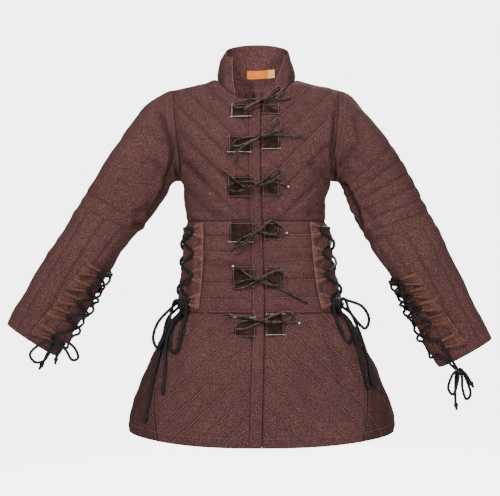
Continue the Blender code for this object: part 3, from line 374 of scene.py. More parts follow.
def body_grids():
    """The outer forms of all the body's cloth pieces: grid, and which way is out."""
    grids = {}

    def add(name, point, places, rows, outward):
        grids[name] = ([[point(*place, row) for place in places] for row in range(rows + 1)], outward)

    for side in (LEFT, RIGHT):
        tag = SIDE_NAME[side]
        fronts = [(side, FRONT, column) for column in range(COLUMNS + 1)]
        backs = [(side, BACK, column) for column in range(COLUMNS - 1, WAIST_BACK_COLUMNS - 1, -1)]
        gores = [(side, column) for column in range(GORE_COLUMNS + 1)]
        add("chest_front_" + tag, chest_point, fronts, CHEST_ROWS, side)
        add("waist_front_" + tag, waist_point, fronts[:WAIST_FRONT_COLUMNS + 1], WAIST_ROWS, side)
        add("waist_side_" + tag, waist_point, fronts[WAIST_FRONT_COLUMNS:] + backs, WAIST_ROWS, side)
        add("skirt_front_" + tag, skirt_point, fronts, SKIRT_ROWS, side)
        add("skirt_gore_" + tag, gore_point, gores, SKIRT_ROWS, side)
    for name, point, columns, rows in (("chest_back", chest_point, COLUMNS, CHEST_ROWS),
                                       ("waist_back", waist_point, WAIST_BACK_COLUMNS, WAIST_ROWS),
                                       ("skirt_back", skirt_point, COLUMNS, SKIRT_ROWS)):
        places = [(RIGHT, BACK, column) for column in range(columns, -1, -1)]
        places += [(LEFT, BACK, column) for column in range(1, columns + 1)]
        add(name, point, places, rows, -1)
    grids["front_band"] = (band_grid(), 1)
    return grids


def band_grid():
    """The folded edge of the right front, from the hem up to the neck."""
    places = [(skirt_point, r) for r in range(SKIRT_ROWS)]
    places += [(waist_point, r) for r in range(WAIST_ROWS)]
    places += [(chest_point, r) for r in range(CHEST_ROWS + 1)]
    grid = []
    for form, row in places:
        seam = form(RIGHT, FRONT, 0, row)
        z = seam.z
        fold = seam.copy()
        fold.x = opening_x(z)
        depth = abs(seam.y) / along((seam.x - body("middle", z)) / body("half", z))
        fold.y = -depth * along((fold.x - body("middle", z)) / body("half", z))
        grid.append([seam, (seam + fold) / 2, fold])
    return grid


def sleeve_grid(side):
    stations = SLEEVES[side][-1].station
    grid = [[armhole_point(side, m) for m in range(SLEEVE_POINTS)]]
    for r in range(1, SLEEVE_RINGS):
        station = stations * r / (SLEEVE_RINGS - 1)
        grid.append([sleeve_point(side, station, m) for m in range(SLEEVE_POINTS)])
    return grid


# ---------------------------------------------------------------- the collar's form

COLLAR_WIDE = 0.072      # half width of the collar's top edge
COLLAR_FRONT = 0.045
COLLAR_BACK = 0.056
COLLAR_MIDDLE_Y = 0.006
COLLAR_FRONT_Z = 0.040   # top edge at the very front, and how much higher at the back
COLLAR_BACK_RISE = 0.049
COLLAR_RIGHT_TURN = 47.0  # degrees from the front where each collar end stands open
COLLAR_LEFT_TURN = 58.0
COLLAR_BOW = 0.004       # how far its cloth bows outward halfway up


def collar_seam():
    """The neck edge from the right front, round the back, to the left front."""
    route = [(RIGHT, FRONT, c) for c in (2, 3, 4)] + [(RIGHT, BACK, c) for c in (3, 2, 1, 0)]
    route += [(LEFT, BACK, c) for c in (1, 2, 3, 4)] + [(LEFT, FRONT, c) for c in (3, 2, 1)]
    corners = [chest_point(side, face, c, CHEST_ROWS) for side, face, c in route]
    seam = [corners[0]]
    for start, end in zip(corners, corners[1:]):
        seam += [(start + end) / 2, end]
    return [point + Vector((0, 0, SEAM_GAP)) for point in seam]


def collar_rim(share):
    """The collar's top edge, from its right end (0) round the back to its left (1)."""
    turn = math.radians(-COLLAR_RIGHT_TURN - share * (360 - COLLAR_RIGHT_TURN - COLLAR_LEFT_TURN))
    deep = COLLAR_FRONT if math.cos(turn) > 0 else COLLAR_BACK
    rise = COLLAR_BACK_RISE * (1 - math.cos(turn)) / 2
    return Vector((COLLAR_WIDE * math.sin(turn), COLLAR_MIDDLE_Y - deep * math.cos(turn),
                   COLLAR_FRONT_Z + rise))


def collar_grid():
    seam = collar_seam()
    last = len(seam) - 1
    grid = []
    for row in range(COLLAR_ROWS + 1):
        t = row / COLLAR_ROWS
        bow = COLLAR_BOW * math.sin(math.pi * t)
        line = []
        for c, point in enumerate(seam):
            spot = point.lerp(collar_rim(c / last), t)
            outward = Vector((spot.x, spot.y - COLLAR_MIDDLE_Y, 0)).normalized()
            line.append(spot + outward * bow)
        grid.append(line)
    return grid


# ---------------------------------------------------------------- places on the cloth

METRE_STEP, TURN_STEP, ROUND_STEP, STATION_STEP = 0.004, 2.0, 0.2, 0.1    # for normals of the forms


def lifted(form, u, v, lift, outward, du, dv):
    """A point of a form moved out along its normal. The form takes (u, v)."""
    spot = form(u, v)
    normal = (form(u + du, v) - form(u - du, v)).cross(form(u, v + dv) - form(u, v - dv))
    return spot + normal.normalized() * lift * outward


def front_form(x, z):
    """The front of the body at a place seen from the front."""
    half = body("half", z)
    if z > ARMPIT_Z:
        rise = (z - ARMPIT_Z) / (SHOULDER_Z - ARMPIT_Z)
        half = ease(ARMHOLE, "edge", "rise", rise) / across(ease(ARMHOLE, "turn", "rise", rise))
    away = x - body("middle", z)
    round_off = min(1.0, max(0.0, (shoulder_line(away) - z) / SHOULDER_ROUND))
    return Vector((x, -body("front", z) * along(away / half) * math.sqrt(1 - (1 - round_off) ** 2), z))


def on_front(x, z, lift):
    return lifted(front_form, x, z, lift, 1, METRE_STEP, METRE_STEP)


def on_waist(side, turn, z, lift):
    """A place on the side of the body, by its turn from the front."""

    def form(angle, height):
        if angle <= 90.0:
            return body_point(side, FRONT, angle, height)
        return body_point(side, BACK, 180.0 - angle, height)

    return lifted(form, turn, z, lift, side, TURN_STEP, METRE_STEP)


def on_sleeve(side, step, station, lift):
    """A place on a sleeve, by its step round and its station along."""

    def form(u, v):
        return sleeve_point(side, v, u)

    return lifted(form, step, station, lift, side, ROUND_STEP, STATION_STEP)


# ---------------------------------------------------------------- sizes and places of what is sewn on

PATCH_THICK = 0.0020
PATCH_LIFT = PUFF + 0.0011
LABEL_THICK = 0.0010

# Pairs of patches down the front: height of the middle and of the patch on the
# right front, then on the left front, how far each reaches from the opening, and
# how much nearer to the cloth the pair lies.
Patch = namedtuple("Patch", "right_z right_tall right_reach left_z left_tall left_reach sink")
PATCHES = [
    Patch(-0.082, 0.031, 0.064, -0.079, 0.024, 0.041, 0.0006),
    Patch(-0.156, 0.037, 0.068, -0.149, 0.037, 0.042, 0.0),
    Patch(-0.246, 0.045, 0.070, -0.245, 0.039, 0.040, 0.0),
    Patch(-0.345, 0.045, 0.069, -0.342, 0.039, 0.037, 0.0),
    Patch(-0.443, 0.043, 0.067, -0.443, 0.043, 0.039, 0.0),
    Patch(-0.547, 0.045, 0.064, -0.542, 0.049, 0.043, 0.0013),
]
RIGHT_PATCH_START = 0.0175   # from the opening, over the folded band's edge
LEFT_PATCH_START = 0.0030

TAB_THICK = 0.0025
TAB_LIFT = PUFF + 0.0004
WAIST_TAB_Z = (-0.494, -0.439, -0.390, -0.340)
WAIST_TAB_TALL = 0.032
WAIST_STRIP = {FRONT: (45.6, 48.6), BACK: (108.9, 111.9)}    # turns from the front
WAIST_TAB_REACH = {FRONT: (53.3, 58.0), BACK: (99.5, 104.2)}
ARM_TABS = {RIGHT: (9.8, 10.8, 11.7, 12.6, 13.5), LEFT: (11.0, 11.75, 12.45, 13.05, 13.6)}
ARM_TAB_TALL = 0.028
ARM_STRIP_TOP, ARM_STRIP_CUFF = 4.6, 3.9     # steps round the sleeve
ARM_BACK_TOP, ARM_BACK_CUFF = 10.2, 10.8
ARM_STRIP_WIDE, ARM_TAB_LONG = 0.4, 1.3      # in steps
TAB_TOP = TAB_LIFT + TAB_THICK


def strip_step(side, face, station):
    """Where a forearm strip lies round the sleeve at a station."""
    ends = (ARM_STRIP_TOP, ARM_STRIP_CUFF) if face == FRONT else (ARM_BACK_TOP, ARM_BACK_CUFF)
    first, last = ARM_TABS[side][0], ARM_TABS[side][-1]
    return mix(*ends, (station - first) / (last - first))


def tab_half(side, station):
    """Half a tab's height, as a share of a station."""
    above, below = (sleeve_point(side, station + step, 4) for step in (STATION_STEP, -STATION_STEP))
    return ARM_TAB_TALL / 2 / ((above - below).length / (2 * STATION_STEP))


# ---------------------------------------------------------------- routes of thongs and cords

CORD = 0.0055            # diameter of the waist cords
ARM_CORD = 0.0050
EYE_REST = 0.0024        # a cord stands this far off a tab
LOW_CROSS = 0.0072       # heights of the two strands where a lacing crosses
HIGH_CROSS = 0.0136
CROSS_SHARES = (0.22, 0.5, 0.78)     # places on the way of a crossing strand
TURN_SHARES = (0.25, 0.5, 0.75)      # and on its turn past the last row

# The ties, each from its right end through the two loops of its bow to its
# left end. x and z are millimetres from the knot, seen from the front.
TIE_KNOTS = [(0.006, -0.063), (0.001, -0.143), (-0.003, -0.240),
             (-0.001, -0.341), (0.001, -0.445), (0.010, -0.535)]
TIE_ROUTES = [
    [(67, 11), (49, 4), (26, 6), (4, 2), (-17, 4), (-41, 0), (-58, -6), (-49, -15), (-24, -11), (0, -4),
     (17, 13), (37, 30), (47, 24), (30, 9), (4, -2), (-17, -13), (-34, -24)],
    [(97, 4), (69, 4), (37, 6), (9, 2), (-17, 2), (-43, -4), (-54, -15), (-39, -17), (-13, -6), (4, 0),
     (19, 17), (41, 39), (49, 24), (28, 9), (2, -2), (-22, -15), (-43, -30), (-62, -47)],
    [(69, -6), (54, 0), (26, 6), (4, 2), (-17, 4), (-43, 2), (-56, -9), (-43, -17), (-19, -11), (2, -2),
     (22, 13), (41, 30), (52, 19), (30, 4), (2, -4), (-24, -6), (-52, 15), (-73, 34)],
    [(64, -4), (45, -11), (22, -6), (2, 0), (-15, -9), (-34, -19), (-45, -32), (-30, -32), (-13, -17),
     (2, -2), (15, 11), (32, 22), (52, 4), (32, -9), (2, -4), (-19, -19), (-39, -34), (-54, -45)],
    [(105, -54), (80, -39), (47, -22), (22, -9), (2, 0), (-19, -2), (-43, -9), (-49, -22), (-30, -19),
     (-13, -11), (2, -2), (22, 11), (47, 17), (54, -2), (37, -15), (4, -6), (-22, 9), (-37, 22), (-52, 28)],
    [(80, -6), (56, -4), (28, -2), (2, 0), (-22, 0), (-47, -4), (-56, -17), (-34, -17), (-15, -9), (2, -2),
     (24, 11), (54, 19), (64, 9), (39, -4), (4, -4), (-26, 4), (-54, 9), (-80, 11)],
]
KNOT_REACH = 12          # millimetres around the knot where strands lie on each other
PASS_LIFTS = (0.0082, 0.0126, 0.0170)


def tie_lifts(route):
    """Height of each point: a pass over the knot lies on the pass before it."""
    passes = 0
    lifts = []
    inside = False
    for x, z in route:
        near = math.hypot(x, z) < KNOT_REACH
        if inside and not near:
            passes = min(passes + 1, len(PASS_LIFTS))
        inside = near
        layer = passes if near else max(passes - 1, 0)
        lifts.append(PASS_LIFTS[min(layer, len(PASS_LIFTS) - 1)])
    return lifts


# Bows at the waist, in millimetres from the knot: outward, up, and lift off the
# cloth, from one free end through the two loops to the other. Each pass over
# the knot lies on the one before.
WAIST_KNOTS = {RIGHT: (0.180, -0.494), LEFT: (0.176, -0.490)}    # out from the middle, height
WAIST_BOWS = {
    RIGHT: [
        (65, -265, 7), (57, -219, 7), (51, -175, 7), (42, -140, 7), (31, -98, 7), (20, -45, 9),
        (17, -14, 14), (9, 0, 15.5), (-6, 1, 15.5), (-17, -7, 17), (-21, -28, 13), (-16, -65, 8.5),
        (-8, -103, 8), (2, -112, 8), (10, -100, 8.5), (6, -62, 11), (-4, -30, 18), (-14, -14, 22.4),
        (-13, -3, 23), (-5, 1, 22.3), (9, 0, 22), (20, -8, 21), (37, -47, 18), (50, -82, 18.5),
        (42, -106, 18), (28, -91, 18), (17, -56, 20), (18, -24, 26), (17, -8, 28.6), (8, 1, 28.3),
        (-6, 1, 28.7), (-15, -7, 29.4), (-9, -26, 27), (5, -50, 25.5), (14, -70, 24.5),
        (20, -94, 19), (21, -122, 12), (20, -145, 8), (24, -202, 7),
    ],
    LEFT: [
        (66, -196, 7), (57, -172, 7), (53, -136, 7), (44, -103, 7), (33, -70, 7.5), (20, -37, 9),
        (17, -14, 14), (9, 0, 16.4), (-6, 1, 16.4), (-17, -7, 17), (-19, -32, 13), (-10, -64, 8.5),
        (1, -91, 8), (11, -96, 8), (19, -80, 8.5), (11, -50, 11), (-3, -26, 18), (-14, -14, 22.4),
        (-13, -3, 23), (-5, 1, 22.3), (9, 0, 22), (24, -3, 22.5), (40, -18, 25), (55, -46, 24),
        (47, -68, 21), (29, -52, 20), (19, -26, 26), (17, -8, 28.6), (8, 1, 28.3), (-6, 1, 28.7),
        (-15, -7, 29.4), (-9, -25, 27), (5, -45, 24.5), (16, -66, 23), (23, -86, 17),
        (31, -114, 8.5), (40, -158, 7), (52, -198, 7),
    ],
}

# Bows at the cuffs: x, y and z in millimetres, from one free end to the other.
ARM_BOWS = {
    RIGHT: [
        (-478, -70, -644), (-469, -71, -630), (-458, -71, -606), (-447, -69, -590), (-437, -66, -584),
        (-418, -62, -584), (-401, -58, -599), (-394, -57, -619), (-407, -60, -624), (-419, -66, -603),
        (-435, -72, -586), (-456, -77, -583), (-480, -78, -592), (-496, -78, -610), (-485, -78, -627),
        (-466, -78, -624), (-452, -79, -605), (-437, -79, -586), (-431, -81, -596), (-437, -80, -612),
        (-441, -79, -632),
    ],
    LEFT: [
        (436, -75, -732), (433, -75, -710), (433, -75, -681), (434, -74, -659), (438, -73, -646),
        (446, -73, -643), (454, -74, -658), (466, -76, -694), (456, -77, -708), (448, -77, -684),
        (447, -78, -662), (443, -79, -647), (436, -80, -645), (424, -82, -657), (416, -83, -683),
        (427, -83, -697), (436, -83, -672), (439, -85, -652), (447, -86, -647), (456, -86, -656),
        (471, -84, -682),
    ],
}

WAIST_EYES = (55.6, 101.8)       # turns of the eyelets, front and back
WAIST_RISE = 0.011               # height of the cord's turn at an eyelet
LACE_END = (0.005, 0, 0.0094)    # where a waist lace ends beside the knot
BOW_CLEAR = 0.0070               # a bow's strands lie this far off the cloth, and lift towards the front
KNOT_TURN = 61                   # where a knot rests on the body
KNOT_SIZE = 0.022                # a bow's strands lie squarely this near its knot
SIDE_SHARE = 0.95                # past this share of the half width a cord hangs free
ARM_EYE_STEP = 1.50              # from the strip to the eyelets, in steps
HOME_LIFT = 0.0070               # lift of a lace's last stretch to its bow
ARM_LACE_ENDS = {
    RIGHT: ((-0.4320, -0.0606, -0.5800), (-0.4430, -0.0606, -0.5900)),
    LEFT: ((0.4420, -0.0678, -0.6440), (0.4310, -0.0670, -0.6400)),
}


def hanging(side, out, z, lift):
    """A place in front of the body's side, by its distance from the middle."""
    half = body("half", z)
    share = min(out / half, SIDE_SHARE)
    turn = math.degrees(math.asin(share ** (TURN / 2)))
    beside = Vector((side * (out - share * half), BOW_CLEAR - lift, 0))
    return on_waist(side, turn, z, BOW_CLEAR) + beside


def at_knot(side, out, up, lift):
    """A place on a waist bow: squarely over its knot, and hanging free further off."""
    knot_out, knot_z = WAIST_KNOTS[side]
    base = on_waist(side, KNOT_TURN, knot_z, 0)
    outward = on_waist(side, KNOT_TURN, knot_z, 1) - base
    outward = Vector((outward.x, outward.y, 0)).normalized()
    tangent = Vector((-outward.y, outward.x, 0)) * side
    square = base + tangent * out + outward * lift + Vector((0, 0, up))
    free = hanging(side, knot_out + out, knot_z + up, lift)
    share = min(max((math.hypot(out, up) - KNOT_SIZE) / KNOT_SIZE, 0.0), 1.0)
    return square.lerp(free, share)


def laced(place, rows, rise, diameter):
    """One cord laced up through a column of tabs and down again.

    place(u, row, lift) gives a point, with u from 0 at the front eyelets to 1
    at the back ones. Each eyelet takes two points, so that the cord turns in
    it without a kink, and each crossing takes three.
    """
    eyelet = TAB_TOP + diameter / 2 + EYE_REST
    up = [(i % 2, row) for i, row in enumerate(rows)]
    down = [(1 - u, row) for u, row in reversed(up)]
    route = []
    for way, climb, cross in ((up, rise, LOW_CROSS), (down, -rise, HIGH_CROSS)):
        halfway = (cross + eyelet) / 2
        for i, (u, row) in enumerate(way):
            start = row + climb / 2
            route += [place(u, row - climb / 2, eyelet), place(u, start, eyelet)]
            if i < len(way) - 1:
                goal = way[i + 1][1] - climb / 2
                for share, lift in zip(CROSS_SHARES, (halfway, cross, halfway)):
                    route.append(place(mix(u, 1 - u, share), mix(start, goal, share), lift))
        if way is up:
            side = up[-1][0]
            for share in TURN_SHARES:
                route.append(place(mix(side, 1 - side, share), rows[-1] + rise / 2, LOW_CROSS))
    return route


# ---------------------------------------------------------------- refined cloth

CELL = 0.0037            # size of a fine cloth cell
NEARLY_NONE = 1e-12
HILL = 0.0036            # swell of the padding between two quilting lines
HILL_EDGE = 0.0062       # how soon it swells beside a line
HILL_NOISE, HILL_VARIES = 26, 0.5        # how uneven the swell is, as a share of it
PUCKER_NOISE, PUCKER = 75, 0.0013        # waves that the sewing draws up beside each line
PUCKER_WIDE = 0.0110
RUMPLES = ((15, 0.0036), (38, 0.0016))   # scale and depth of the cloth's own unevenness
SEAM_DIP = 0.0011        # a sewn edge is drawn in this much
SEAM_SOFT = 0.0045
SWELL_EDGE = 0.011       # how soon the cloth swells beside a seam
PLAIN_SWELL = 0.0016     # swell of cloth with no quilting on it
LAID_CHECK = 0.01        # a laid form's normals are measured over this height
CREASE_EDGE = 0.004      # how soon a crease deepens beside a seam
CREASE_GAIN = 1.7
RIDGE_SHARE = 0.45       # height of the ridges beside a crease, as a share of its depth
RIDGE_CLEAR = 0.0015     # ridges die out in valleys deeper than this
FACING_FROM, FACING_OVER = 0.05, 0.3     # creases fade on cloth that turns from the front
SHADE_FROM = 0.003       # cloth pressed in deeper than this gets painted shade like a seam
SHADE_CLEAR, SHADE_GAIN, SHADE_FULL = 0.0032, 0.55, 0.0004     # of that painted shade, as distances from a seam

# Creases seen on the front: ends as x and z, depth (positive is a valley) and
# half width, in millimetres.
Crease = namedtuple("Crease", "x0 z0 x1 z1 depth wide")
CREASES = [Crease(*row) for row in (
    (-213, -80, -193, -142, 5.5, 5), (-193, -142, -184, -166, 6.0, 5), (-184, -166, -190, -193, 5.0, 5),
    (-190, -193, -203, -224, 5.0, 5), (-203, -224, -206, -246, 4.5, 5), (-206, -246, -222, -276, 5.0, 5),
    (-222, -276, -240, -300, 4.0, 5), (-184, -194, -178, -224, 4.5, 5), (-247, -121, -210, -148, 2.6, 9),
    (-238, -189, -208, -207, 2.6, 7), (-214, -60, -204, -104, 2.4, 8), (-270, -328, -246, -322, 4.5, 6),
    (-228, -282, -262, -300, 2.4, 8), (-262, -170, -232, -232, 1.8, 10), (-300, -236, -262, -262, 1.8, 9),
    (172, -90, 163, -170, 4.0, 6), (163, -173, 169, -214, 6.0, 6), (222, -98, 230, -142, 2.8, 9),
    (196, -236, 222, -290, 5.5, 5), (222, -290, 232, -335, 5.0, 5), (183, -197, 212, -163, 3.0, 7),
    (196, -176, 236, -196, 2.2, 8), (240, -300, 262, -330, 2.4, 8), (246, -352, 258, -412, 2.6, 7),
    (-228, -350, -262, -408, 2.6, 7), (-130, -300, -70, -312, 1.8, 8), (66, -306, 140, -298, 1.8, 8),
    (120, -196, 160, -232, 2.6, 8), (-152, -196, -118, -242, 2.4, 8), (-120, -405, -60, -418, 1.8, 9),
    (62, -396, 128, -402, 2.2, 9), (-150, -545, -176, -640, 2.8, 12), (152, -545, 184, -660, 2.8, 12),
    (-96, -600, -118, -720, 1.6, 16), (96, -610, 128, -740, 1.8, 16), (-40, -60, -96, -34, 2.0, 8),
    (44, -58, 92, -36, 2.0, 8), (-78, -72, -140, -58, 1.8, 9), (84, -74, 146, -60, 1.8, 9),
    (28, 18, 40, -22, 2.4, 6),
)]


def bell(distance, width):
    """One at no distance, and falling off smoothly around a width."""
    return np.exp(-(distance / width) ** 2)


def spline(points, factor, wrap=False):
    """Refine an array along its first axis, on smooth curves through its values."""
    count = len(points)
    if wrap:
        place = np.arange(count * factor) / factor
        base = np.floor(place).astype(int)
        a, b, c, d = (points[(base + k) % count] for k in (-1, 0, 1, 2))
    else:
        ends = np.concatenate([[2 * points[0] - points[1]], points, [2 * points[-1] - points[-2]]])
        place = np.arange((count - 1) * factor + 1) / factor
        base = np.minimum(np.floor(place).astype(int), count - 2)
        a, b, c, d = (ends[base + k] for k in range(4))
    t = (place - base)[:, None, None]
    return 0.5 * (2 * b + (c - a) * t + (2 * a - 5 * b + 4 * c - d) * t ** 2
                  + (3 * b - a - 3 * c + d) * t ** 3)


def refined(values, factors, wrap):
    down = spline(values, factors[0])
    return spline(down.transpose(1, 0, 2), factors[1], wrap).transpose(1, 0, 2)


def unit(vectors):
    return vectors / np.maximum(np.linalg.norm(vectors, axis=-1, keepdims=True), NEARLY_NONE)


def numbers(grid):
    """A grid of vectors as an array."""
    return np.array([[tuple(point) for point in line] for line in grid])


def steps(points, axis):
    """Distances between the neighbours along an axis of a grid of points."""
    return np.linalg.norm(np.diff(points, axis=axis), axis=-1)


def arc(points, axis):
    """Length along an axis of a grid of points, from its start."""
    found = steps(points, axis)
    start = np.zeros_like(np.take(found, [0], axis=axis))
    return np.concatenate([start, np.cumsum(found, axis=axis)], axis=axis)


class Form:
    """A face of fine cells, with its normals and its cloth coordinates."""

    shaded = math.inf    # relief() sets where deep creases get painted shade like seams

    def __init__(self, spots, ways, wrap=False):
        self.spots, self.ways, self.wrap = spots, ways, wrap
        self.up = arc(spots, 0)
        self.along = arc(spots, 1)
        self.x, self.y, self.z = (spots[..., k] for k in range(3))
        ends = [self.up, self.up[-1:] - self.up]
        if not wrap:
            ends += [self.along, self.along[:, -1:] - self.along]
        self.edge = np.minimum.reduce([np.broadcast_to(end, self.up.shape) for end in ends])

    def rows(self, rows):
        """The same form, but only some of its rows."""
        return Form(self.spots[rows], self.ways[rows], self.wrap)


def fine_form(grid, wrap=False):
    """A form refined to small cells from its grid of vectors."""
    spots = numbers(grid)
    ways = numbers([[normal_at(point) for point in line] for line in grid])
    factors = [max(1, round(steps(spots, axis).mean() / CELL)) for axis in (0, 1)]
    return Form(refined(spots, factors, wrap), unit(refined(ways, factors, wrap)), wrap)


def laid_form(place, us, vs, lift):
    """A small form laid on another: place(u, v, lift) gives its points."""
    near, far = (numbers([[place(u, v, height) for u in us] for v in vs])
                 for height in (lift, lift + LAID_CHECK))
    return Form(near, unit(far - near))


def noise_at(spots, scale, seed):
    """Smooth noise at points. The scale is one number or one for each axis."""
    shift = Vector((seed * 7.3, seed * 3.1, seed * 5.7))
    values = [noise.noise(Vector(spot) + shift) for spot in spots.reshape(-1, 3) * scale]
    return np.array(values).reshape(spots.shape[:-1])


def crease_depth(spots, ways):
    """How deep the listed creases press into the cloth that faces the front."""
    valley, ridge = np.zeros((2, *spots.shape[:-1]))
    facing = np.clip((-ways[..., 1] - FACING_FROM) / FACING_OVER, 0, 1)
    for ax, az, bx, bz, deep, wide in (np.divide(crease, 1000) for crease in CREASES):
        dx, dz = bx - ax, bz - az
        t = ((spots[..., 0] - ax) * dx + (spots[..., 2] - az) * dz) / (dx * dx + dz * dz)
        held = np.clip(t, 0, 1)
        off = np.hypot(spots[..., 0] - ax - held * dx, spots[..., 2] - az - held * dz)
        valley = np.maximum(valley, deep * bell(off, wide))
        ridge = np.maximum(ridge, RIDGE_SHARE * deep * bell(off - 2 * wide, wide))
    return (valley - ridge * bell(valley, RIDGE_CLEAR)) * facing


def relief(form, phase, pitch, seed, rumple=1.0, stretch=(1, 1, 1), full=1.0):
    """Height of the padded cloth over its form."""
    uneven = rumple * sum(noise_at(form.spots, scale * np.array(stretch), seed + k) * deep
                          for k, (scale, deep) in enumerate(RUMPLES))
    if phase is None:
        hill = PLAIN_SWELL
    else:
        gap = np.abs(phase - np.round(phase)) * pitch
        hill = full * HILL * (1 - bell(gap, HILL_EDGE))
        hill = hill * (1 + HILL_VARIES * noise_at(form.spots, HILL_NOISE, seed + 2))
        hill = hill + bell(gap, PUCKER_WIDE) * noise_at(form.spots, PUCKER_NOISE, seed + 3) * PUCKER
    folds = CREASE_GAIN * crease_depth(form.spots, form.ways) * (1 - bell(form.edge, CREASE_EDGE))
    # Deep creases get painted shade, kept as a distance from a seam that the cloth's material darkens.
    shade = SHADE_CLEAR - SHADE_GAIN * np.clip(folds - SHADE_FROM, 0, 1)
    form.shaded = np.clip(shade, SHADE_FULL, 1)
    dip = SEAM_DIP * bell(form.edge, SEAM_SOFT)
    return (hill + uneven) * (1 - bell(form.edge, SWELL_EDGE)) - folds - dip


ALL = slice(None)
RIMS = {"low": (0, ALL), "high": (-1, ALL), "start": (ALL, 0), "end": (ALL, -1)}
SAME_SPOT = 1e-6
CLOTH_SHARP = 60         # degrees
LEAST_SHARE = 0.301      # least area of a sheet, as a share of its width by its length

# What is added to a node's name to make the name of the piece that stands for it.
NAME_ENDS = {"quilted_cloth": "_cloth", "suede": "_suede", "tab_cloth": "_loops",
             "label_weave": "_tape", "tie_leather": "_thong", "black_cord": "_cord"}


def plain(form, height):
    """A block of cloth with no quilting on it, closed all round."""
    return form, height, None, 0.0, RIMS


def cells(grid):
    """The four corners of each cell of a grid, one cell to a row."""
    corners = np.stack([grid[:-1, :-1], grid[:-1, 1:], grid[1:, 1:], grid[1:, :-1]], axis=2)
    return corners.reshape(-1, *corners.shape[2:])


def block_faces(block, start, outward):
    """Corners of a block's faces, with their cloth coordinates and quilting values.

    Its outer face has the numbers from start on, row by row, and its inner one the next.
    """
    form, _, phase, pitch, rims = block
    outer = start + np.arange(form.up.size).reshape(form.up.shape)
    inner = outer + form.up.size
    cloth = np.stack([form.along, form.up], axis=-1)
    if form.wrap:
        gap = np.linalg.norm(form.spots[:, 0] - form.spots[:, -1], axis=-1)
        last = np.stack([form.along[:, -1] + gap, form.up[:, 0]], axis=-1)[:, None]
        cloth = np.concatenate([cloth, last], axis=1)
        outer, inner = (np.concatenate([face, face[:, :1]], axis=1) for face in (outer, inner))
    lines = np.zeros(cloth.shape)
    if phase is not None:
        lines[..., 0] = closed(phase)[:, :lines.shape[1]]
        lines[..., 1] = pitch
    faces, flat, quilt = [], [], []
    for face, grid in enumerate((outer, inner)):
        order = slice(None) if (outward > 0) == (face == 0) else slice(None, None, -1)
        faces.append(cells(grid)[:, order])
        flat.append(cells(cloth)[:, order])
        quilt.append(cells(lines)[:, order] * (face == 0))
    for rim in rims:
        out, back, run = (grid[RIMS[rim]] for grid in (outer, inner, cloth))
        faces.append(np.stack([out[:-1], out[1:], back[1:], back[:-1]], axis=1))
        flat.append(np.stack([run[:-1], run[1:], run[1:], run[:-1]], axis=1))
        quilt.append(flat[-1] * 0)
    return faces, flat, quilt


def shell(name, blocks, outward, slot="quilted_cloth", thick=WALL, stands_for=None):
    """One cloth piece from blocks of (form, height, phase, pitch, rims).

    The outer face carries the relief, the inner one is plain, and the named
    rims are closed. Cloth coordinates go to the first UV map, and the quilting
    phase and its pitch to the second. The piece stands for its own node, unless
    another name, or "" for none, is given.
    """
    spots, seams, corners = [], [], ([], [], [])
    for block in blocks:
        form, height = block[:2]
        for store, found in zip(corners, block_faces(block, sum(len(face) for face in spots), outward)):
            store += found
        # Distance to a seam, or less in deep creases, for the cloth material's painted shade
        seams += [np.minimum(form.edge, form.shaded).ravel()] * 2
        spots += [(form.spots + form.ways * height[..., None]).reshape(-1, 3),
                  (form.spots - form.ways * thick).reshape(-1, 3)]
    faces, flat, quilt = (np.concatenate(store) for store in corners)
    data = bpy.data.meshes.new(name)
    data.from_pydata(np.concatenate(spots).tolist(), [], faces.tolist())
    for map_name, values in (("flat", flat), ("quilt", quilt)):
        layer = data.uv_layers.new(name=map_name)
        layer.data.foreach_set("uv", values.astype(np.float32).ravel())
    set_attribute(data, "seam", np.concatenate(seams))
    mesh = bmesh.new()
    mesh.from_mesh(data)
    if len(blocks) > 1:
        bmesh.ops.remove_doubles(mesh, verts=mesh.verts, dist=SAME_SPOT)
    bmesh.ops.recalc_face_normals(mesh, faces=mesh.faces)
    finish_mesh(mesh, data, CLOTH_SHARP)
    node = name if stands_for is None else stands_for
    return put(name + NAME_ENDS[slot], data, slot, MATERIALS[slot], node)


def closed(values):
    """Values round a sleeve, with one more column that closes the ring."""
    return np.concatenate([values, values[:, -1:] + values[:, 1:2] - values[:, :1]], axis=1)


def set_attribute(data, name, values):
    values = np.ascontiguousarray(values, dtype=np.float32)
    data.attributes.new(name, "FLOAT", "POINT").data.foreach_set("value", values)


def set_tone(piece, values):
    """How much lighter or darker than its cloth a piece is, point by point."""
    set_attribute(piece.data, "tone", np.broadcast_to(values, (len(piece.data.vertices),)))


def finish_mesh(mesh, data, sharp):
    """Store a mesh under construction, smooth but for edges past an angle."""
    mesh.to_mesh(data)
    mesh.free()
    data.shade_smooth()
    data.set_sharp_from_angle(angle=math.radians(sharp))


def linked(name, data):
    """A new object in the scene."""
    made = bpy.data.objects.new(name, data)
    bpy.context.scene.collection.objects.link(made)
    return made


def put(name, data, slot, material, node=""):
    """Put a finished mesh in the scene as a piece, which may stand for a node."""
    piece = linked(name, data)
    data.materials.clear()
    data.materials.append(material)
    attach(piece, "root")
    if node:
        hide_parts(node)
    return piece


def declare_cut(forms, hangs_from):
    """Work out the flat size a piece was cut to: its widest, its longest and its area."""
    wide = max(float(form.along[:, -1].max()) for form in forms)
    tall = sum(float(form.up[-1].max()) for form in forms)
    area = sum(float((steps(form.spots, 0)[:, :-1] * steps(form.spots, 1)[:-1]).sum()) for form in forms)
    area = min(max(area, LEAST_SHARE * wide * tall), wide * tall)


# ---------------------------------------------------------------- materials

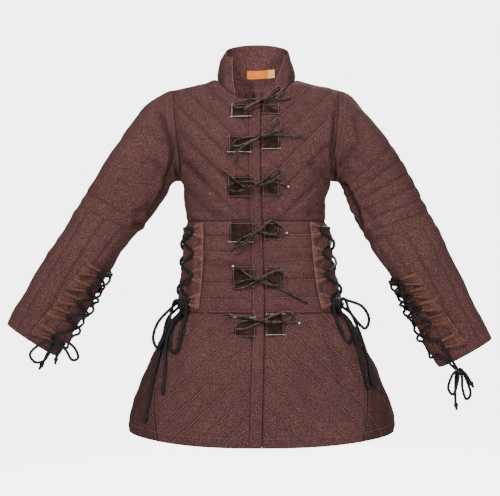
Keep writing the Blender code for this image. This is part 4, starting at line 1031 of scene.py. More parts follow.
NOISE_ROUGH = 0.55
GROOVE_WIDE, GROOVE_SHADE_WIDE = 0.0028, 0.0036     # half widths of the groove and of its painted shade, beside a quilting line
QUILT_LINE_POWER, QUILT_LEAST = 0.7, 0.001     # a piece with less pitch has no quilting lines
YARN, YARN_WANDER, WANDER_NOISE = 0.0012, 0.004, 60.0
FLECK_FINE, FLECK_LONG = 1250.0, 330.0
BRAID_STRANDS, BRAID_LAY = 5.0, 0.0040
LABEL_CREAM_X = 0.0252   # where the label's cream end starts


class Look:
    """A material, with short ways to add the nodes that make up its look."""

    def __init__(self, name, roughness, sheen=0.0, sheen_tint=(1, 1, 1), shine=0.12):
        self.material = bpy.data.materials.new(name)
        self.material.use_nodes = True
        self.tree = self.material.node_tree
        self.shader = self.tree.nodes["Principled BSDF"]
        values = {"Roughness": roughness, "Specular IOR Level": shine, "Sheen Weight": sheen,
                  "Sheen Roughness": 0.45, "Sheen Tint": (*sheen_tint, 1)}
        for label, value in values.items():
            self.shader.inputs[label].default_value = value
        self.place = self.node("TexCoord").outputs["Object"]

    def node(self, kind, settings=None, **inputs):
        """A node with its settings. An input is named, or given by number as i0, i1 and so on."""
        node = self.tree.nodes.new("ShaderNode" + kind)
        for key, value in (settings or {}).items():
            setattr(node, key, value)
        for key, value in inputs.items():
            self.feed(node.inputs[int(key[1:]) if key[1:].isdigit() else key], value)
        return node

    def feed(self, socket, value):
        if isinstance(value, bpy.types.NodeSocket):
            self.tree.links.new(value, socket)
        else:
            socket.default_value = value

    def cloth_map(self, name):
        return self.node("UVMap", {"uv_map": name}).outputs[0]

    def attribute(self, name):
        return self.node("Attribute", {"attribute_name": name}).outputs["Fac"]

    def split(self, vector):
        return self.node("SeparateXYZ", Vector=vector).outputs

    def math(self, operation, a, b=0.0, c=0.0, clamp=False):
        settings = {"operation": operation, "use_clamp": clamp}
        return self.node("Math", settings, i0=a, i1=b, i2=c).outputs[0]

    def ramp(self, value, low, high, out_low=0.0, out_high=1.0):
        settings = {"interpolation_type": "SMOOTHSTEP"}
        return self.node("MapRange", settings, i0=value, i1=low, i2=high, i3=out_low, i4=out_high).outputs[0]

    def blend(self, factor, a, b, kind="MIX"):
        a, b = ((*colour, 1) if isinstance(colour, tuple) else colour for colour in (a, b))
        return self.node("Mix", {"data_type": "RGBA", "blend_type": kind}, i0=factor, i6=a, i7=b).outputs[2]

    def times(self, colour, shade, blue=None):
        """A colour made lighter or darker, its blue by a share of its own if one is given."""
        tint = self.node("CombineColor", i0=shade, i1=shade, i2=blue or shade).outputs[0]
        return self.blend(1.0, colour, tint, "MULTIPLY")

    def noise(self, scale, detail=3.0, vector=None):
        settings = {"Scale": scale, "Detail": detail, "Roughness": NOISE_ROUGH}
        return self.node("TexNoise", Vector=vector or self.place, **settings).outputs[0]

    def stretched(self, vector, scales, detail=3.0):
        """Noise with a scale of its own along each axis."""
        return self.noise(1.0, detail, self.node("Mapping", Vector=vector, Scale=scales).outputs[0])

    def finished(self, colour, *bumps):
        """The material, with its colour and its bumps of (height, distance in metres)."""
        self.feed(self.shader.inputs["Base Color"], colour)
        normal = None
        for height, distance in bumps:
            node = self.node("Bump", Height=height, Distance=distance, Strength=1.0)
            if normal:
                self.feed(node.inputs["Normal"], normal)
            normal = node.outputs[0]
        self.feed(self.shader.inputs["Normal"], normal)
        return self.material


def quilt_lines(look, width):
    """One on a quilting line, falling to nothing at a width from it."""
    phase, pitch = look.split(look.cloth_map("quilt"))[:2]
    off = look.math("ABSOLUTE", look.math("SUBTRACT", phase, look.math("ROUND", phase)))
    near = look.math("DIVIDE", look.math("MULTIPLY", off, pitch), width, clamp=True)
    round_off = look.math("SUBTRACT", 1.0, look.math("POWER", near, QUILT_LINE_POWER))
    return look.math("MULTIPLY", round_off, look.math("GREATER_THAN", pitch, QUILT_LEAST))


def weave(look):
    """Height and fleck of a plain weave of thick yarn, from cloth coordinates in metres."""
    flat = look.cloth_map("flat")
    wander = look.math("MULTIPLY", look.math("SUBTRACT", look.noise(WANDER_NOISE), 0.5), YARN_WANDER)
    waves = []
    for part in look.split(flat)[:2]:
        turn = look.math("DIVIDE", look.math("ADD", part, wander), YARN)
        waves.append(look.math("SINE", look.math("MULTIPLY", turn, math.pi)))
    warp = look.stretched(flat, (FLECK_FINE, FLECK_LONG, 1.0), 2.0)
    weft = look.stretched(flat, (FLECK_LONG, FLECK_FINE, 1.0), 2.0)
    fleck = look.math("MULTIPLY", look.math("ADD", warp, weft), 0.5)
    check = look.math("MULTIPLY", look.math("MULTIPLY", *waves), 0.5)
    return look.math("ADD", check, fleck), fleck


def braid(look):
    """Height of the crossing strands of a braided cord, from its turn and its length."""
    turn, run = look.split(look.cloth_map("flat"))[:2]
    turns = look.math("MULTIPLY", turn, BRAID_STRANDS)
    lays = look.math("DIVIDE", run, BRAID_LAY)
    ridges = []
    for sign in (1.0, -1.0):
        phase = look.math("ADD", turns, look.math("MULTIPLY", lays, sign))
        ridges.append(look.math("ABSOLUTE", look.math("SINE", look.math("MULTIPLY", phase, math.pi))))
    return look.math("MAXIMUM", *ridges)


def cloth_material(name, dark, middle, light):
    """Heathered cotton: dark, middle and light yarn, with painted shade in the quilting grooves, at seams and
    in deep creases.
    """
    look = Look(name, 0.92, 0.02, (0.9, 0.62, 0.56))
    height, fleck = weave(look)
    yarn = look.blend(look.ramp(fleck, 0.40, 0.60), dark, middle)
    yarn = look.blend(look.ramp(look.noise(950.0, 2.0), 0.56, 0.68, 0.0, 0.60), yarn, light)
    yarn = look.times(yarn, look.ramp(look.noise(9.0, 4.0), 0.30, 0.70, 0.90, 1.08))
    yarn = look.times(yarn, look.ramp(look.noise(430.0, 1.5), 0.34, 0.66, 0.66, 1.36))
    # A piece's tone lightens or darkens its cloth, bluer as it lightens: painted shade on the gores, painted
    # light with a lining tint inside the collar and the neck, and a darker cloth on the arm tabs.
    tone = look.attribute("tone")
    yarn = look.times(yarn, look.math("ADD", tone, 1.0), look.math("MULTIPLY_ADD", tone, 1.12, 1.0))
    # Painted shade at seams and in deep creases, read from the seam attribute.
    painted_seam_shade = look.ramp(look.attribute("seam"), 0.0, 0.0030, 0.55, 0.0)
    # Painted shade beside each quilting line.
    painted_groove_shade = look.math("MULTIPLY", quilt_lines(look, GROOVE_SHADE_WIDE), 0.74)
    shade = tuple(part * 0.35 for part in dark)
    yarn = look.blend(look.math("MAXIMUM", painted_groove_shade, painted_seam_shade), yarn, shade)
    crown = look.math("SUBTRACT", 1.0, quilt_lines(look, GROOVE_WIDE))
    lumps, fuzz = look.noise(90.0), look.noise(1500.0, 2.0)
    return look.finished(yarn, (crown, 0.0008), (lumps, 0.0011), (height, 0.00022), (fuzz, 0.00012))


def suede_material():
    look = Look("suede", 0.96, 0.03, (0.75, 0.62, 0.50), 0.05)
    nap, brushed = look.noise(620.0), look.noise(70.0, 4.0)
    colour = look.blend(look.ramp(brushed, 0.35, 0.68), (0.008, 0.0042, 0.0030), (0.032, 0.0175, 0.0118))
    colour = look.blend(look.ramp(nap, 0.45, 0.75, 0.0, 0.6), colour, (0.062, 0.034, 0.023))
    return look.finished(colour, (brushed, 0.0008), (nap, 0.0003))


def thong_material():
    """Dark waxed leather, with painted light on its upper side and painted shade on its lower side, and
    palest where its ends are cut.
    """
    look = Look("thong", 0.34, shine=0.13)
    grain = look.node("TexVoronoi", Vector=look.place, Scale=900.0).outputs["Distance"]
    rub = look.noise(120.0, 4.0)
    colour = look.blend(look.ramp(rub, 0.32, 0.66), (0.012, 0.0074, 0.0048), (0.058, 0.039, 0.026))
    # Painted light and shade: lighter where the surface faces up, darker where it faces down.
    upward = look.split(look.node("NewGeometry").outputs["Normal"])[2]
    colour = look.times(colour, look.ramp(upward, -0.40, 0.85, 0.24, 2.1))
    colour = look.blend(look.attribute("raw"), colour, (0.62, 0.55, 0.46))
    look.feed(look.shader.inputs["Roughness"], look.ramp(rub, 0.3, 0.8, 0.24, 0.42))
    return look.finished(colour, (grain, 0.00020), (rub, 0.0004))


def cord_material():
    look = Look("braided_cord", 0.50, shine=0.16)
    strands = braid(look)
    # Painted shade in the gaps between the braid's strands, lighter on their crowns.
    colour = look.blend(look.ramp(strands, 0.5, 1.0), (0.002, 0.002, 0.0026), (0.011, 0.011, 0.013))
    return look.finished(colour, (strands, 0.0007), (look.noise(1300.0), 0.0001))


def label_material():
    """Woven tape: an orange ground with a cream end, and nothing written on it."""
    look = Look("label_weave", 0.7, 0.03)
    streak = look.stretched(look.place, (60.0, 60.0, 900.0))
    orange = look.blend(look.ramp(streak, 0.3, 0.7), (0.72, 0.175, 0.012), (0.84, 0.26, 0.028))
    cream = look.ramp(look.split(look.place)[0], LABEL_CREAM_X, LABEL_CREAM_X + 0.0008)
    ribs = look.stretched(look.place, (1400.0, 300.0, 1400.0))
    return look.finished(look.blend(cream, orange, (0.92, 0.60, 0.19)), (ribs, 0.0003))


def thread_material(name, colour):
    look = Look(name, 0.7, 0.02)
    twist = look.noise(2200.0, 2.0)
    return look.finished(look.times(colour, look.ramp(twist, 0.3, 0.7, 0.75, 1.1)), (twist, 0.0002))


MATERIALS = {
    "quilted_cloth": cloth_material("quilted_cloth", (0.030, 0.011, 0.010), (0.091, 0.0368, 0.0336),
                                    (0.272, 0.152, 0.138)),
    "tab_cloth": cloth_material("tab_cloth", (0.050, 0.019, 0.015), (0.160, 0.065, 0.051),
                                (0.370, 0.200, 0.165)),
    "suede": suede_material(),
    "tie_leather": thong_material(),
    "black_cord": cord_material(),
    "label_weave": label_material(),
    "thread": thread_material("maroon_thread", (0.380, 0.225, 0.200)),
    "topstitch": thread_material("topstitch_thread", (0.200, 0.100, 0.086)),
    "binding_thread": thread_material("pale_thread", (0.40, 0.24, 0.20)),
    "white_thread": thread_material("white_thread", (0.74, 0.68, 0.62)),
}


# ---------------------------------------------------------------- the cloth pieces

CHEST_PITCH = 0.0550     # height between two slanting quilting lines at the middle
SKIRT_PITCH = 0.0525
CHEST_HIT = -0.193       # heights where lines meet the opening
SKIRT_HIT = -0.5500
GORE_PITCH = 0.0850
GORE_SLANT, GORE_START = 0.9, 0.012
SLANT_SHARE = math.sqrt(0.5)             # distance between slanting lines, as a share of their height
GORE_SHARE = 0.74
WAIST_LINES = {
    RIGHT: (-0.519, -0.490, -0.455, -0.419, -0.387, -0.354, -0.319),
    LEFT: (-0.519, -0.485, -0.447, -0.410, -0.380, -0.349, -0.319),
}
WAIST_PITCH = 0.034
CHANNEL = {RIGHT: 0.032, LEFT: 0.0275}   # pitch of the lines across the upper arm
CHANNELS = {RIGHT: 1, LEFT: 6}           # how many of them there are above the elbow
FOREARM_LINES = 12       # lines that run along the forearm
ELBOW_STATION = {RIGHT: 7.1, LEFT: 8.3}
LAST_STATION = 14.0
SLEEVE_FULL = 0.52       # swell of a sleeve's padding, as a share of the body's
ELBOW_REACH, ELBOW_RUMPLE = 0.05, 1.1    # how far and how much a sleeve rumples at its elbow
HEAD_REACH, HEAD_RUMPLE = 0.06, 0.6      # and at its head
BAND_SOFT = 0.006        # how soon the front band puffs out beside its seam
SIDE_SWELL, SIDE_SOFT = 0.006, 0.016     # of the plain cloth at the waist's sides
SOFT_FOLDS = (1.7, (2.4, 2.4, 0.4))      # rumple, and its stretch along x, y and z, of soft cloth
GORE_PAINTED_SHADE, LINING_TINT_AND_LIGHT, NECK_TINT_AND_LIGHT = -0.36, 0.32, 0.48    # shares lighter than the cloth's own look: painted shade darkens the gores, and painted light with a bluer lining tint lightens the collar's inner face and the neck lining
TUCK_IN, TUCK_DOWN = 0.0032, 0.0070      # where the collar's lower edge goes inside the neck
TUCK_SHARES = (1.0, 0.6, 0.25)
NECK_SHARE = 0.10        # share of the collar's seam without a lining at each front end
NECK_CLEAR, NECK_LEAN, NECK_DROP = 0.0062, 0.020, 0.070     # inward above, more of it below, and down
NECK_ROWS, NECK_THICK = 19, 0.0008
NECK_FOLDS, NECK_FOLD_DEEP = 13, 0.0030
NECK_FOLD_FROM = 0.018   # its folds deepen over this much of its upper edge
NECK_WANDER, NECK_WANDER_NOISE = 5.0, 28     # how unevenly its folds are spaced
NECK_ROUGH, NECK_ROUGH_NOISE = 0.0012, 60
BACKING_HALF, BACKING_THICK = 0.013, 0.0012
BACKING_LIFT = -WALL - 0.0030
BACKING_LOW, BACKING_TOP = HEM_Z + 0.004, -0.075
BACKING_CELL, BACKING_COLUMNS = 0.008, 7
BACKING_ROUGH, BACKING_NOISE = 0.0010, 30
NECK_THIN, BACKING_THIN = 0.0010, 0.0006     # least heights of the lining and the fly
NECK_SHADE_LEAST, NECK_SHADE_MORE = 0.0004, 0.0040     # painted shade in the lining's fold valleys, as distances from a seam
SLEEVE_SEED, COLLAR_SEED, BACKING_SEED = 21, 31, 77    # a body piece's seed is its number
NECK_SEEDS = (91, 92)

QUILTED = []             # (name, form, height, phase) of each quilted face, for its stitches
PIECES = {}              # (form, height) of each piece of cloth


def phase_of(name, form, side):
    """Where a piece's quilting lines run: whole numbers lie on a line."""
    out = np.abs(form.x - np.vectorize(opening_x)(form.z[:, :1]))
    if name.startswith("chest"):
        return (form.z - out - CHEST_HIT) / CHEST_PITCH, CHEST_PITCH * SLANT_SHARE
    if name.startswith("skirt_gore"):
        down = form.up[-1:] - form.up - form.along * GORE_SLANT + GORE_START
        return down / GORE_PITCH, GORE_PITCH * GORE_SHARE
    if name.startswith("skirt"):
        return (SKIRT_HIT - form.z - out) / SKIRT_PITCH, SKIRT_PITCH * SLANT_SHARE
    if name.startswith("waist_front") or name == "waist_back":
        lines = WAIST_LINES[side or LEFT]
        return np.interp(form.z, lines, range(len(lines))), WAIST_PITCH
    return None, 0.0


def sewn_to(name):
    """The piece that a piece of the body hangs from."""
    if name == "front_band":
        return "chest_front_right"
    if name.startswith("chest"):
        return "collar"
    if name.startswith("skirt"):
        return name.replace("skirt", "waist").replace("gore", "side")
    return name.replace("waist", "chest") if "front" in name else "chest_back"


def make_body_piece(name, grid, outward, seed):
    form = fine_form(grid)
    side = LEFT if name.endswith("left") else RIGHT if name.endswith("right") else 0
    phase, pitch = phase_of(name, form, side)
    soft = name.startswith(("skirt_gore", "waist_side"))
    height = relief(form, phase, pitch, seed, *(SOFT_FOLDS if soft else ()))
    if name == "front_band":
        height = height + BAND_PUFF * np.clip(form.along / BAND_SOFT, 0, 1)
        # Only its fold and its hem count as edges for the painted seam shade.
        form.edge = np.minimum(form.along[:, -1:] - form.along, form.up)
    if name.startswith("waist_side"):
        height = height + SIDE_SWELL * (1 - bell(form.edge, SIDE_SOFT))
    piece = shell(name, [(form, height, phase, pitch, RIMS)], outward)
    # Painted shade darkens the gores, where the body turns away from the lamps.
    if name.startswith("skirt_gore"):
        set_tone(piece, GORE_PAINTED_SHADE)
    declare_cut([form], [sewn_to(name)])
    PIECES[name] = (form, height)
    if phase is not None:
        QUILTED.append((name, form, height, phase))


def make_sleeve(side, grid):
    """Channels across the upper arm and along the forearm, parted at the elbow."""
    name = "sleeve_" + SIDE_NAME[side]
    whole = fine_form(grid, wrap=True)
    elbow = round(ELBOW_STATION[side] / LAST_STATION * (len(whole.up) - 1))
    upper, fore = whole.rows(slice(0, elbow + 1)), whole.rows(slice(elbow, None))
    run = upper.up.mean(axis=1, keepdims=True)
    across_arm = np.broadcast_to((run - run[-1]) / CHANNEL[side], upper.up.shape)
    across_arm = np.maximum(across_arm, -CHANNELS[side] - 0.5)
    turn = np.arange(fore.up.shape[1]) / fore.up.shape[1] * FOREARM_LINES
    along_arm = np.broadcast_to(turn[None], fore.up.shape)
    round_arm = steps(fore.spots, 1).sum(axis=1).mean()
    blocks = []
    for half, phase, pitch, rim in ((upper, across_arm, CHANNEL[side], "low"),
                                    (fore, along_arm, round_arm / FOREARM_LINES, "high")):
        up, down = half.up, half.up[-1:] - half.up
        sewn, from_elbow = (up, down) if half is upper else (down, up)
        rumple = 1.0 + ELBOW_RUMPLE * bell(from_elbow, ELBOW_REACH)
        if half is upper:
            rumple = rumple + HEAD_RUMPLE * bell(up, HEAD_REACH)
        height = relief(half, phase, pitch, SLEEVE_SEED + side, rumple, full=SLEEVE_FULL)
        height = height + SEAM_DIP * bell(from_elbow, SEAM_SOFT)
        # Only the sewn end counts as an edge, for the painted seam shade and for keeping stitches clear.
        half.edge = sewn
        blocks.append((half, height, phase, pitch, [rim]))
        QUILTED.append((name + ("_upper" if half is upper else "_fore"), half, height, phase))
    heights = [block[1] for block in blocks]
    heights[0][-1] = heights[1][0] = (heights[0][-1] + heights[1][0]) / 2
    piece = shell(name, blocks, side)
    declare_cut([upper, fore], ["chest_back"])
    PIECES[name] = (whole, np.concatenate([heights[0], heights[1][1:]]))


def make_collar():
    """The collar, with its lower edge carried on down inside the neck."""
    form = fine_form(collar_grid())
    below = [form.spots[0] - form.ways[0] * TUCK_IN * share + np.array([0, 0, -TUCK_DOWN * share])
             for share in TUCK_SHARES]
    form = Form(np.concatenate([below, form.spots]),
                np.concatenate([np.repeat(form.ways[:1], len(below), axis=0), form.ways]))
    height = relief(form, None, 0.0, COLLAR_SEED)
    piece = shell("collar", [plain(form, height)], -1)
    # The inner face gets a lighter, bluer lining tint, partly painted light.
    set_tone(piece, np.repeat([0.0, LINING_TINT_AND_LIGHT], height.size))
    declare_cut([form], ["chest_back"])
    PIECES["collar"] = (form, height)


def make_neck_lining():
    """Lining that runs in creases from the collar's lower edge down inside the neck, lightened with painted
    light and a bluer lining tint.
    """
    seam = spline(numbers([[spot] for spot in collar_seam()]), 4)[:, 0]
    seam = seam[round(len(seam) * NECK_SHARE):round(len(seam) * (1 - NECK_SHARE))]
    middle = np.array([0, COLLAR_MIDDLE_Y, 0])
    inward = unit((middle - seam) * np.array([1, 1, 0]))
    drops = np.linspace(0, 1, NECK_ROWS)
    spots = np.array([seam + inward * (NECK_CLEAR + NECK_LEAN * drop) - np.array([0, 0, NECK_DROP * drop])
                      for drop in drops])
    form = Form(spots[::-1], np.repeat(inward[None], len(drops), axis=0))
    turn = np.arctan2(form.spots[..., 0], form.spots[..., 1] - COLLAR_MIDDLE_Y)
    wander = noise_at(form.spots * np.array([1, 1, 0.3]), NECK_WANDER_NOISE, NECK_SEEDS[0])
    folds = 0.5 + 0.5 * np.sin(turn * NECK_FOLDS + wander * NECK_WANDER)
    depth = np.clip((form.up[-1:] - form.up) / NECK_FOLD_FROM, 0, 1)
    rough = noise_at(form.spots, NECK_ROUGH_NOISE, NECK_SEEDS[1]) * NECK_ROUGH
    height = NECK_THIN + NECK_FOLD_DEEP * depth * folds ** 0.7 + rough
    # Painted shade in the valleys between its folds, fading out towards its upper edge.
    form.edge = NECK_SHADE_LEAST + NECK_SHADE_MORE * np.clip(folds + 1 - depth, 0, 1)
    piece = shell("neck_lining", [plain(form, height)], -1, thick=NECK_THICK, stands_for="")
    # Painted light and a bluer lining tint lighten the shadowed inside of the neck.
    set_tone(piece, NECK_TINT_AND_LIGHT)
    declare_cut([form], ["collar"])


def make_backing():
    """A narrow fly of the same cloth, sewn inside the right front behind the opening."""

    def place(u, z, lift):
        return on_front(opening_x(z) + u, z, lift)

    rows = round((BACKING_TOP - BACKING_LOW) / BACKING_CELL)
    form = laid_form(place, np.linspace(-BACKING_HALF, BACKING_HALF, BACKING_COLUMNS),
                     np.linspace(BACKING_LOW, BACKING_TOP, rows), BACKING_LIFT)
    height = BACKING_THIN + noise_at(form.spots, BACKING_NOISE, BACKING_SEED) * BACKING_ROUGH
    shell("front_fly", [plain(form, height)], 1, thick=BACKING_THICK, stands_for="front_band")


def make_cloth():
    grids = body_grids()
    sleeves = {side: sleeve_grid(side) for side in (LEFT, RIGHT)}
    for grid, outward in grids.values():
        note_normals(grid, False, outward)
    for side, grid in sleeves.items():
        note_normals(grid, True, side)
    note_normals(collar_grid(), False, -1)
    for seed, (name, (grid, outward)) in enumerate(grids.items()):
        make_body_piece(name, grid, outward, seed)
    for side, grid in sleeves.items():
        make_sleeve(side, grid)
    make_collar()
    make_neck_lining()


make_cloth()


# ---------------------------------------------------------------- patches, tabs and label

PATCH_CELL = 0.0017
PATCH_UNDER = 0.0002     # how far a patch goes into the cloth
PATCH_INSET = 0.0026     # of its stitches
PATCH_RAGGED = 0.0012    # how uneven its cut edges are
PATCH_LEAN = 0.05        # how much higher one end may be, as a share of its width
PATCH_RIM, PATCH_RIM_WIDE = 0.45, 0.0016     # a patch is this much thinner at its rim
PATCH_GROOVE, PATCH_GROOVE_WIDE = 0.0006, 0.0010
PATCH_UNEVEN = 12        # its height grows by this share for each metre that its edge stands out
PATCH_NOISES = (130, 45)
PATCH_SEEDS = {RIGHT: 0, LEFT: 20}
PATCH_SOFT, PATCH_SOFT_EDGE = 0.0007, 0.004
# Edges of the patches that are sewn in white, as (patch, side, edge).
WHITE_EDGES = {(1, "right", "low"), (1, "right", "end"), (2, "right", "low"), (2, "left", "low"),
               (4, "right", "low"), (6, "right", "high"), (6, "left", "high"), (6, "left", "low")}
PLAIN_EDGE = 1.0         # keeps the painted seam shade off a piece
TAB_UNDER = 0.0004       # how far the tabs and their strips go into the cloth
STRIP_CELL, STRIP_COLUMNS = 0.004, 7
STRIP_SINK = 0.0006      # a strip lies this much lower than its tabs
STRIP_THICK, STRIP_RIM, STRIP_SOFT = 0.0022, 0.0006, 0.0022
STRIP_INSET = 0.0020     # of its stitches
STRIP_MORE = {"waist": 3.6, "arm": 0.03}     # how much wider a strip is than its form, in turns and steps
TAB_CELLS = (25, 33)     # points along a tab and across it
TAB_START = 0.7          # a tab starts this share of the way under its strip
TAB_STRETCH = 1.12       # a tab reaches this much further than its solid
TAB_ROOT, TAB_NARROWS = 1.22, 0.78       # height of its root, and how much less its tip has, as shares
TAB_TIP = 0.88           # its tip rounds over from this share of its length
TAB_SQUARE, TAB_ROUND = 0.3, 0.7         # shares of its tip's width that stay and that round off
TAB_TAPER = 1.3          # how late along it a tab narrows
TAB_SKEW = 0.55          # how far its tip may stand aside
TAB_FULL, TAB_CRUMPLE = 0.0024, 0.0014
TAB_RIM, TAB_RIM_WIDE = 0.55, 0.0014
TAB_TONE = {"waist": 0.0, "arm": -0.24}
TAB_OVER, TAB_RISE = 0.0002, 0.0016      # how far it lies over its strip, and how much more its tip
TAB_FOLDS = ((0.66, 0.24, 0.0034), (-0.60, 0.22, 0.0020))     # place across a tab, width and height
# Slits between a tab's folds, as (place across it, lean with its skew, width, depth).
TAB_SLITS = ((0.34, 0.10, 0.08, 0.0026), (0.02, 0.20, 0.07, 0.0018), (-0.30, -0.10, 0.08, 0.0022))
SLIT_LEAN, SLIT_OPENS, SLIT_LEAST = 0.15, 2.4, 0.30
SLIT_CLEAR, SLIT_SHADE, SLIT_DARKEST = 0.0034, 1.7, 0.0002     # painted shade in the slits, as distances from a seam
TAB_NOISE = 95
LABEL_X = (-0.024, 0.043)
LABEL_Z = (0.0095, 0.0290)
LABEL_TILT = 0.03
LABEL_INSET, LABEL_CLEAR = 0.0016, 0.001
LABEL_NOISE, LABEL_ROUGH, LABEL_SEED = 60, 0.0005, 5
LABEL_BEHIND = 0.01      # the columns of the collar behind this Y carry it
LABEL_ROWS, LABEL_COLUMNS = 11, 30

# Lines of stitches by their thread, as (points, edges).
SEAMS = {"thread": [], "binding_thread": [], "white_thread": [], "patch_thread": [], "label_thread": []}


def make_patch(number, side, middle, tall, start, reach, sink):
    """A suede patch at one side of the opening, from start to reach across the front."""
    tag = SIDE_NAME[side]
    opening = opening_x(middle)
    wide = reach - start
    seed = number + PATCH_SEEDS[side]
    lean = noise.noise(Vector((seed * 1.7, 3.3, 0))) * PATCH_LEAN

    def place(u, v, lift):
        ragged = noise.noise(Vector((u * 3, v * 3, seed * 2.9))) * PATCH_RAGGED
        x = opening + side * (start + u * wide + ragged * (u > 0.5))
        z = middle + (v - 0.5) * tall * (1 + ragged * PATCH_UNEVEN) + lean * (u - 0.5) * wide
        return on_front(x, z, lift)

    us, vs = (np.linspace(0, 1, max(3, round(size / PATCH_CELL)) + 1) for size in (wide, tall))
    form = laid_form(place, us, vs, PATCH_LIFT - sink)
    rim = 1 - PATCH_RIM * bell(form.edge, PATCH_RIM_WIDE)
    groove = PATCH_GROOVE * bell(form.edge - PATCH_INSET, PATCH_GROOVE_WIDE)
    soft = sum(noise_at(form.spots, scale, seed) * PATCH_SOFT for scale in PATCH_NOISES)
    height = PATCH_THICK * rim - groove + soft * np.clip(form.edge / PATCH_SOFT_EDGE, 0, 1)
    shell(f"patch_{tag}_{number}", [plain(form, height)], side, "suede", PATCH_UNDER)
    for rim in RIMS:
        thread = "white_thread" if (number, tag, rim) in WHITE_EDGES else "patch_thread"
        sew(thread, form, height, PATCH_INSET, [rim], PATCH_INSET * 0.5)


def make_patches():
    for number, patch in enumerate(PATCHES, 1):
        for side, middle, tall, start, reach in (
                (RIGHT, patch.right_z, patch.right_tall, RIGHT_PATCH_START, patch.right_reach),
                (LEFT, patch.left_z, patch.left_tall, LEFT_PATCH_START, patch.left_reach)):
            make_patch(number, side, middle, tall, start, reach, patch.sink)


def make_tabs():
    """Each tab is a folded loop of cloth that narrows to the point its cord passes."""
    waist_rows = [(z, WAIST_TAB_TALL / 2) for z in WAIST_TAB_Z]
    for side in (LEFT, RIGHT):
        for face, tag in ((FRONT, "front"), (BACK, "back")):
            tail = f"{tag}_{SIDE_NAME[side]}"
            inner, outer = WAIST_STRIP[face] if face == FRONT else reversed(WAIST_STRIP[face])
            tip = WAIST_TAB_REACH[face][1 if face == FRONT else 0]

            def at_waist(u, z, lift):
                return on_waist(side, inner + u, z, lift)

            make_row("waist", tail, at_waist, outer - inner, tip - inner, waist_rows, side)
            reach = 1 if face == FRONT else -1

            def at_arm(u, station, lift):
                return on_sleeve(side, strip_step(side, face, station) + u, station, lift)

            arm_rows = [(s, -tab_half(side, s)) for s in reversed(ARM_TABS[side])]
            make_row("arm", tail, at_arm, reach * ARM_STRIP_WIDE,
                     reach * (ARM_STRIP_WIDE + ARM_TAB_LONG), arm_rows, side)


def make_row(where, tail, place, strip_wide, reach, rows, outward):
    """A strip with its row of tabs. Each of the rows is a tab's middle and its half height."""
    flip = outward if (reach > 0) == (rows[0][1] > 0) else -outward
    start = -math.copysign(STRIP_MORE[where], reach)
    make_strip(f"{where}_strip_{tail}", f"{where}_tabs_{tail}", place, (start, strip_wide), rows, flip)
    blocks = [make_tab(place, start * TAB_START, reach * TAB_STRETCH, middle, half,
                       number * 3 + len(tail) + (reach > 0))
              for number, (middle, half) in enumerate(rows)]
    piece = shell(f"{where}_tabs_{tail}", blocks, flip, "tab_cloth", TAB_UNDER)
    set_tone(piece, TAB_TONE[where])


def make_strip(name, node, place, ends, rows, flip):
    """The strip of cloth that a row of tabs is sewn under."""
    low, high = rows[0][0] - rows[0][1], rows[-1][0] + rows[-1][1]
    tall = (place(0, high, 0) - place(0, low, 0)).length
    form = laid_form(place, np.linspace(*ends, STRIP_COLUMNS),
                     np.linspace(low, high, round(tall / STRIP_CELL) + 1), TAB_LIFT - STRIP_SINK)
    height = STRIP_THICK * (1 - bell(form.edge, STRIP_SOFT)) + STRIP_RIM
    form.edge = form.edge + PLAIN_EDGE
    shell(name, [plain(form, height)], flip, thick=TAB_UNDER, stands_for=node)
    sew("binding_thread", form, height, STRIP_INSET, ["start"], STRIP_INSET)


def make_tab(place, start, reach, middle, half, seed):
    """The block of one tab, with its folds and the slits between them, the slits darkened with painted shade.
    """
    skew = noise.noise(Vector((seed * 2.3, 1.1, 4.4))) * 0.5
    flat_side = 1 if noise.noise(Vector((seed * 3.7, 8.1, 0.4))) > 0 else -1

    def loop(a, b, lift):
        narrow = TAB_ROOT - TAB_NARROWS * a ** TAB_TAPER
        round_tip = math.sqrt(max(0.0, 1 - max(0.0, (a - TAB_TIP) / (1 - TAB_TIP)) ** 2))
        across_tab = b * narrow * (TAB_SQUARE + TAB_ROUND * round_tip) + skew * a * TAB_SKEW
        return place(start + (reach - start) * a, middle + half * across_tab, lift + TAB_RISE * a)

    us, vs = np.linspace(0, 1, TAB_CELLS[0]), np.linspace(-1, 1, TAB_CELLS[1])
    form = laid_form(loop, us, vs, TAB_LIFT + TAB_OVER)
    a, b = us[None, :], vs[:, None] * flat_side
    fold = sum(high * bell(b - spot, wide) for spot, wide, high in TAB_FOLDS)
    opened = np.clip(a * SLIT_OPENS, SLIT_LEAST, 1)
    slit = sum(deep * bell(b - (spot + lean * skew) - SLIT_LEAN * a * skew, wide) * opened
               for spot, lean, wide, deep in TAB_SLITS)
    crumple = noise_at(form.spots, TAB_NOISE, seed) * TAB_CRUMPLE
    height = (TAB_FULL + fold - slit + crumple) * (1 - TAB_RIM * bell(form.edge, TAB_RIM_WIDE))
    # Painted shade in the slits, kept as a distance from a seam.
    form.edge = np.clip(SLIT_CLEAR - slit * SLIT_SHADE, SLIT_DARKEST, 1)
    return plain(form, height)


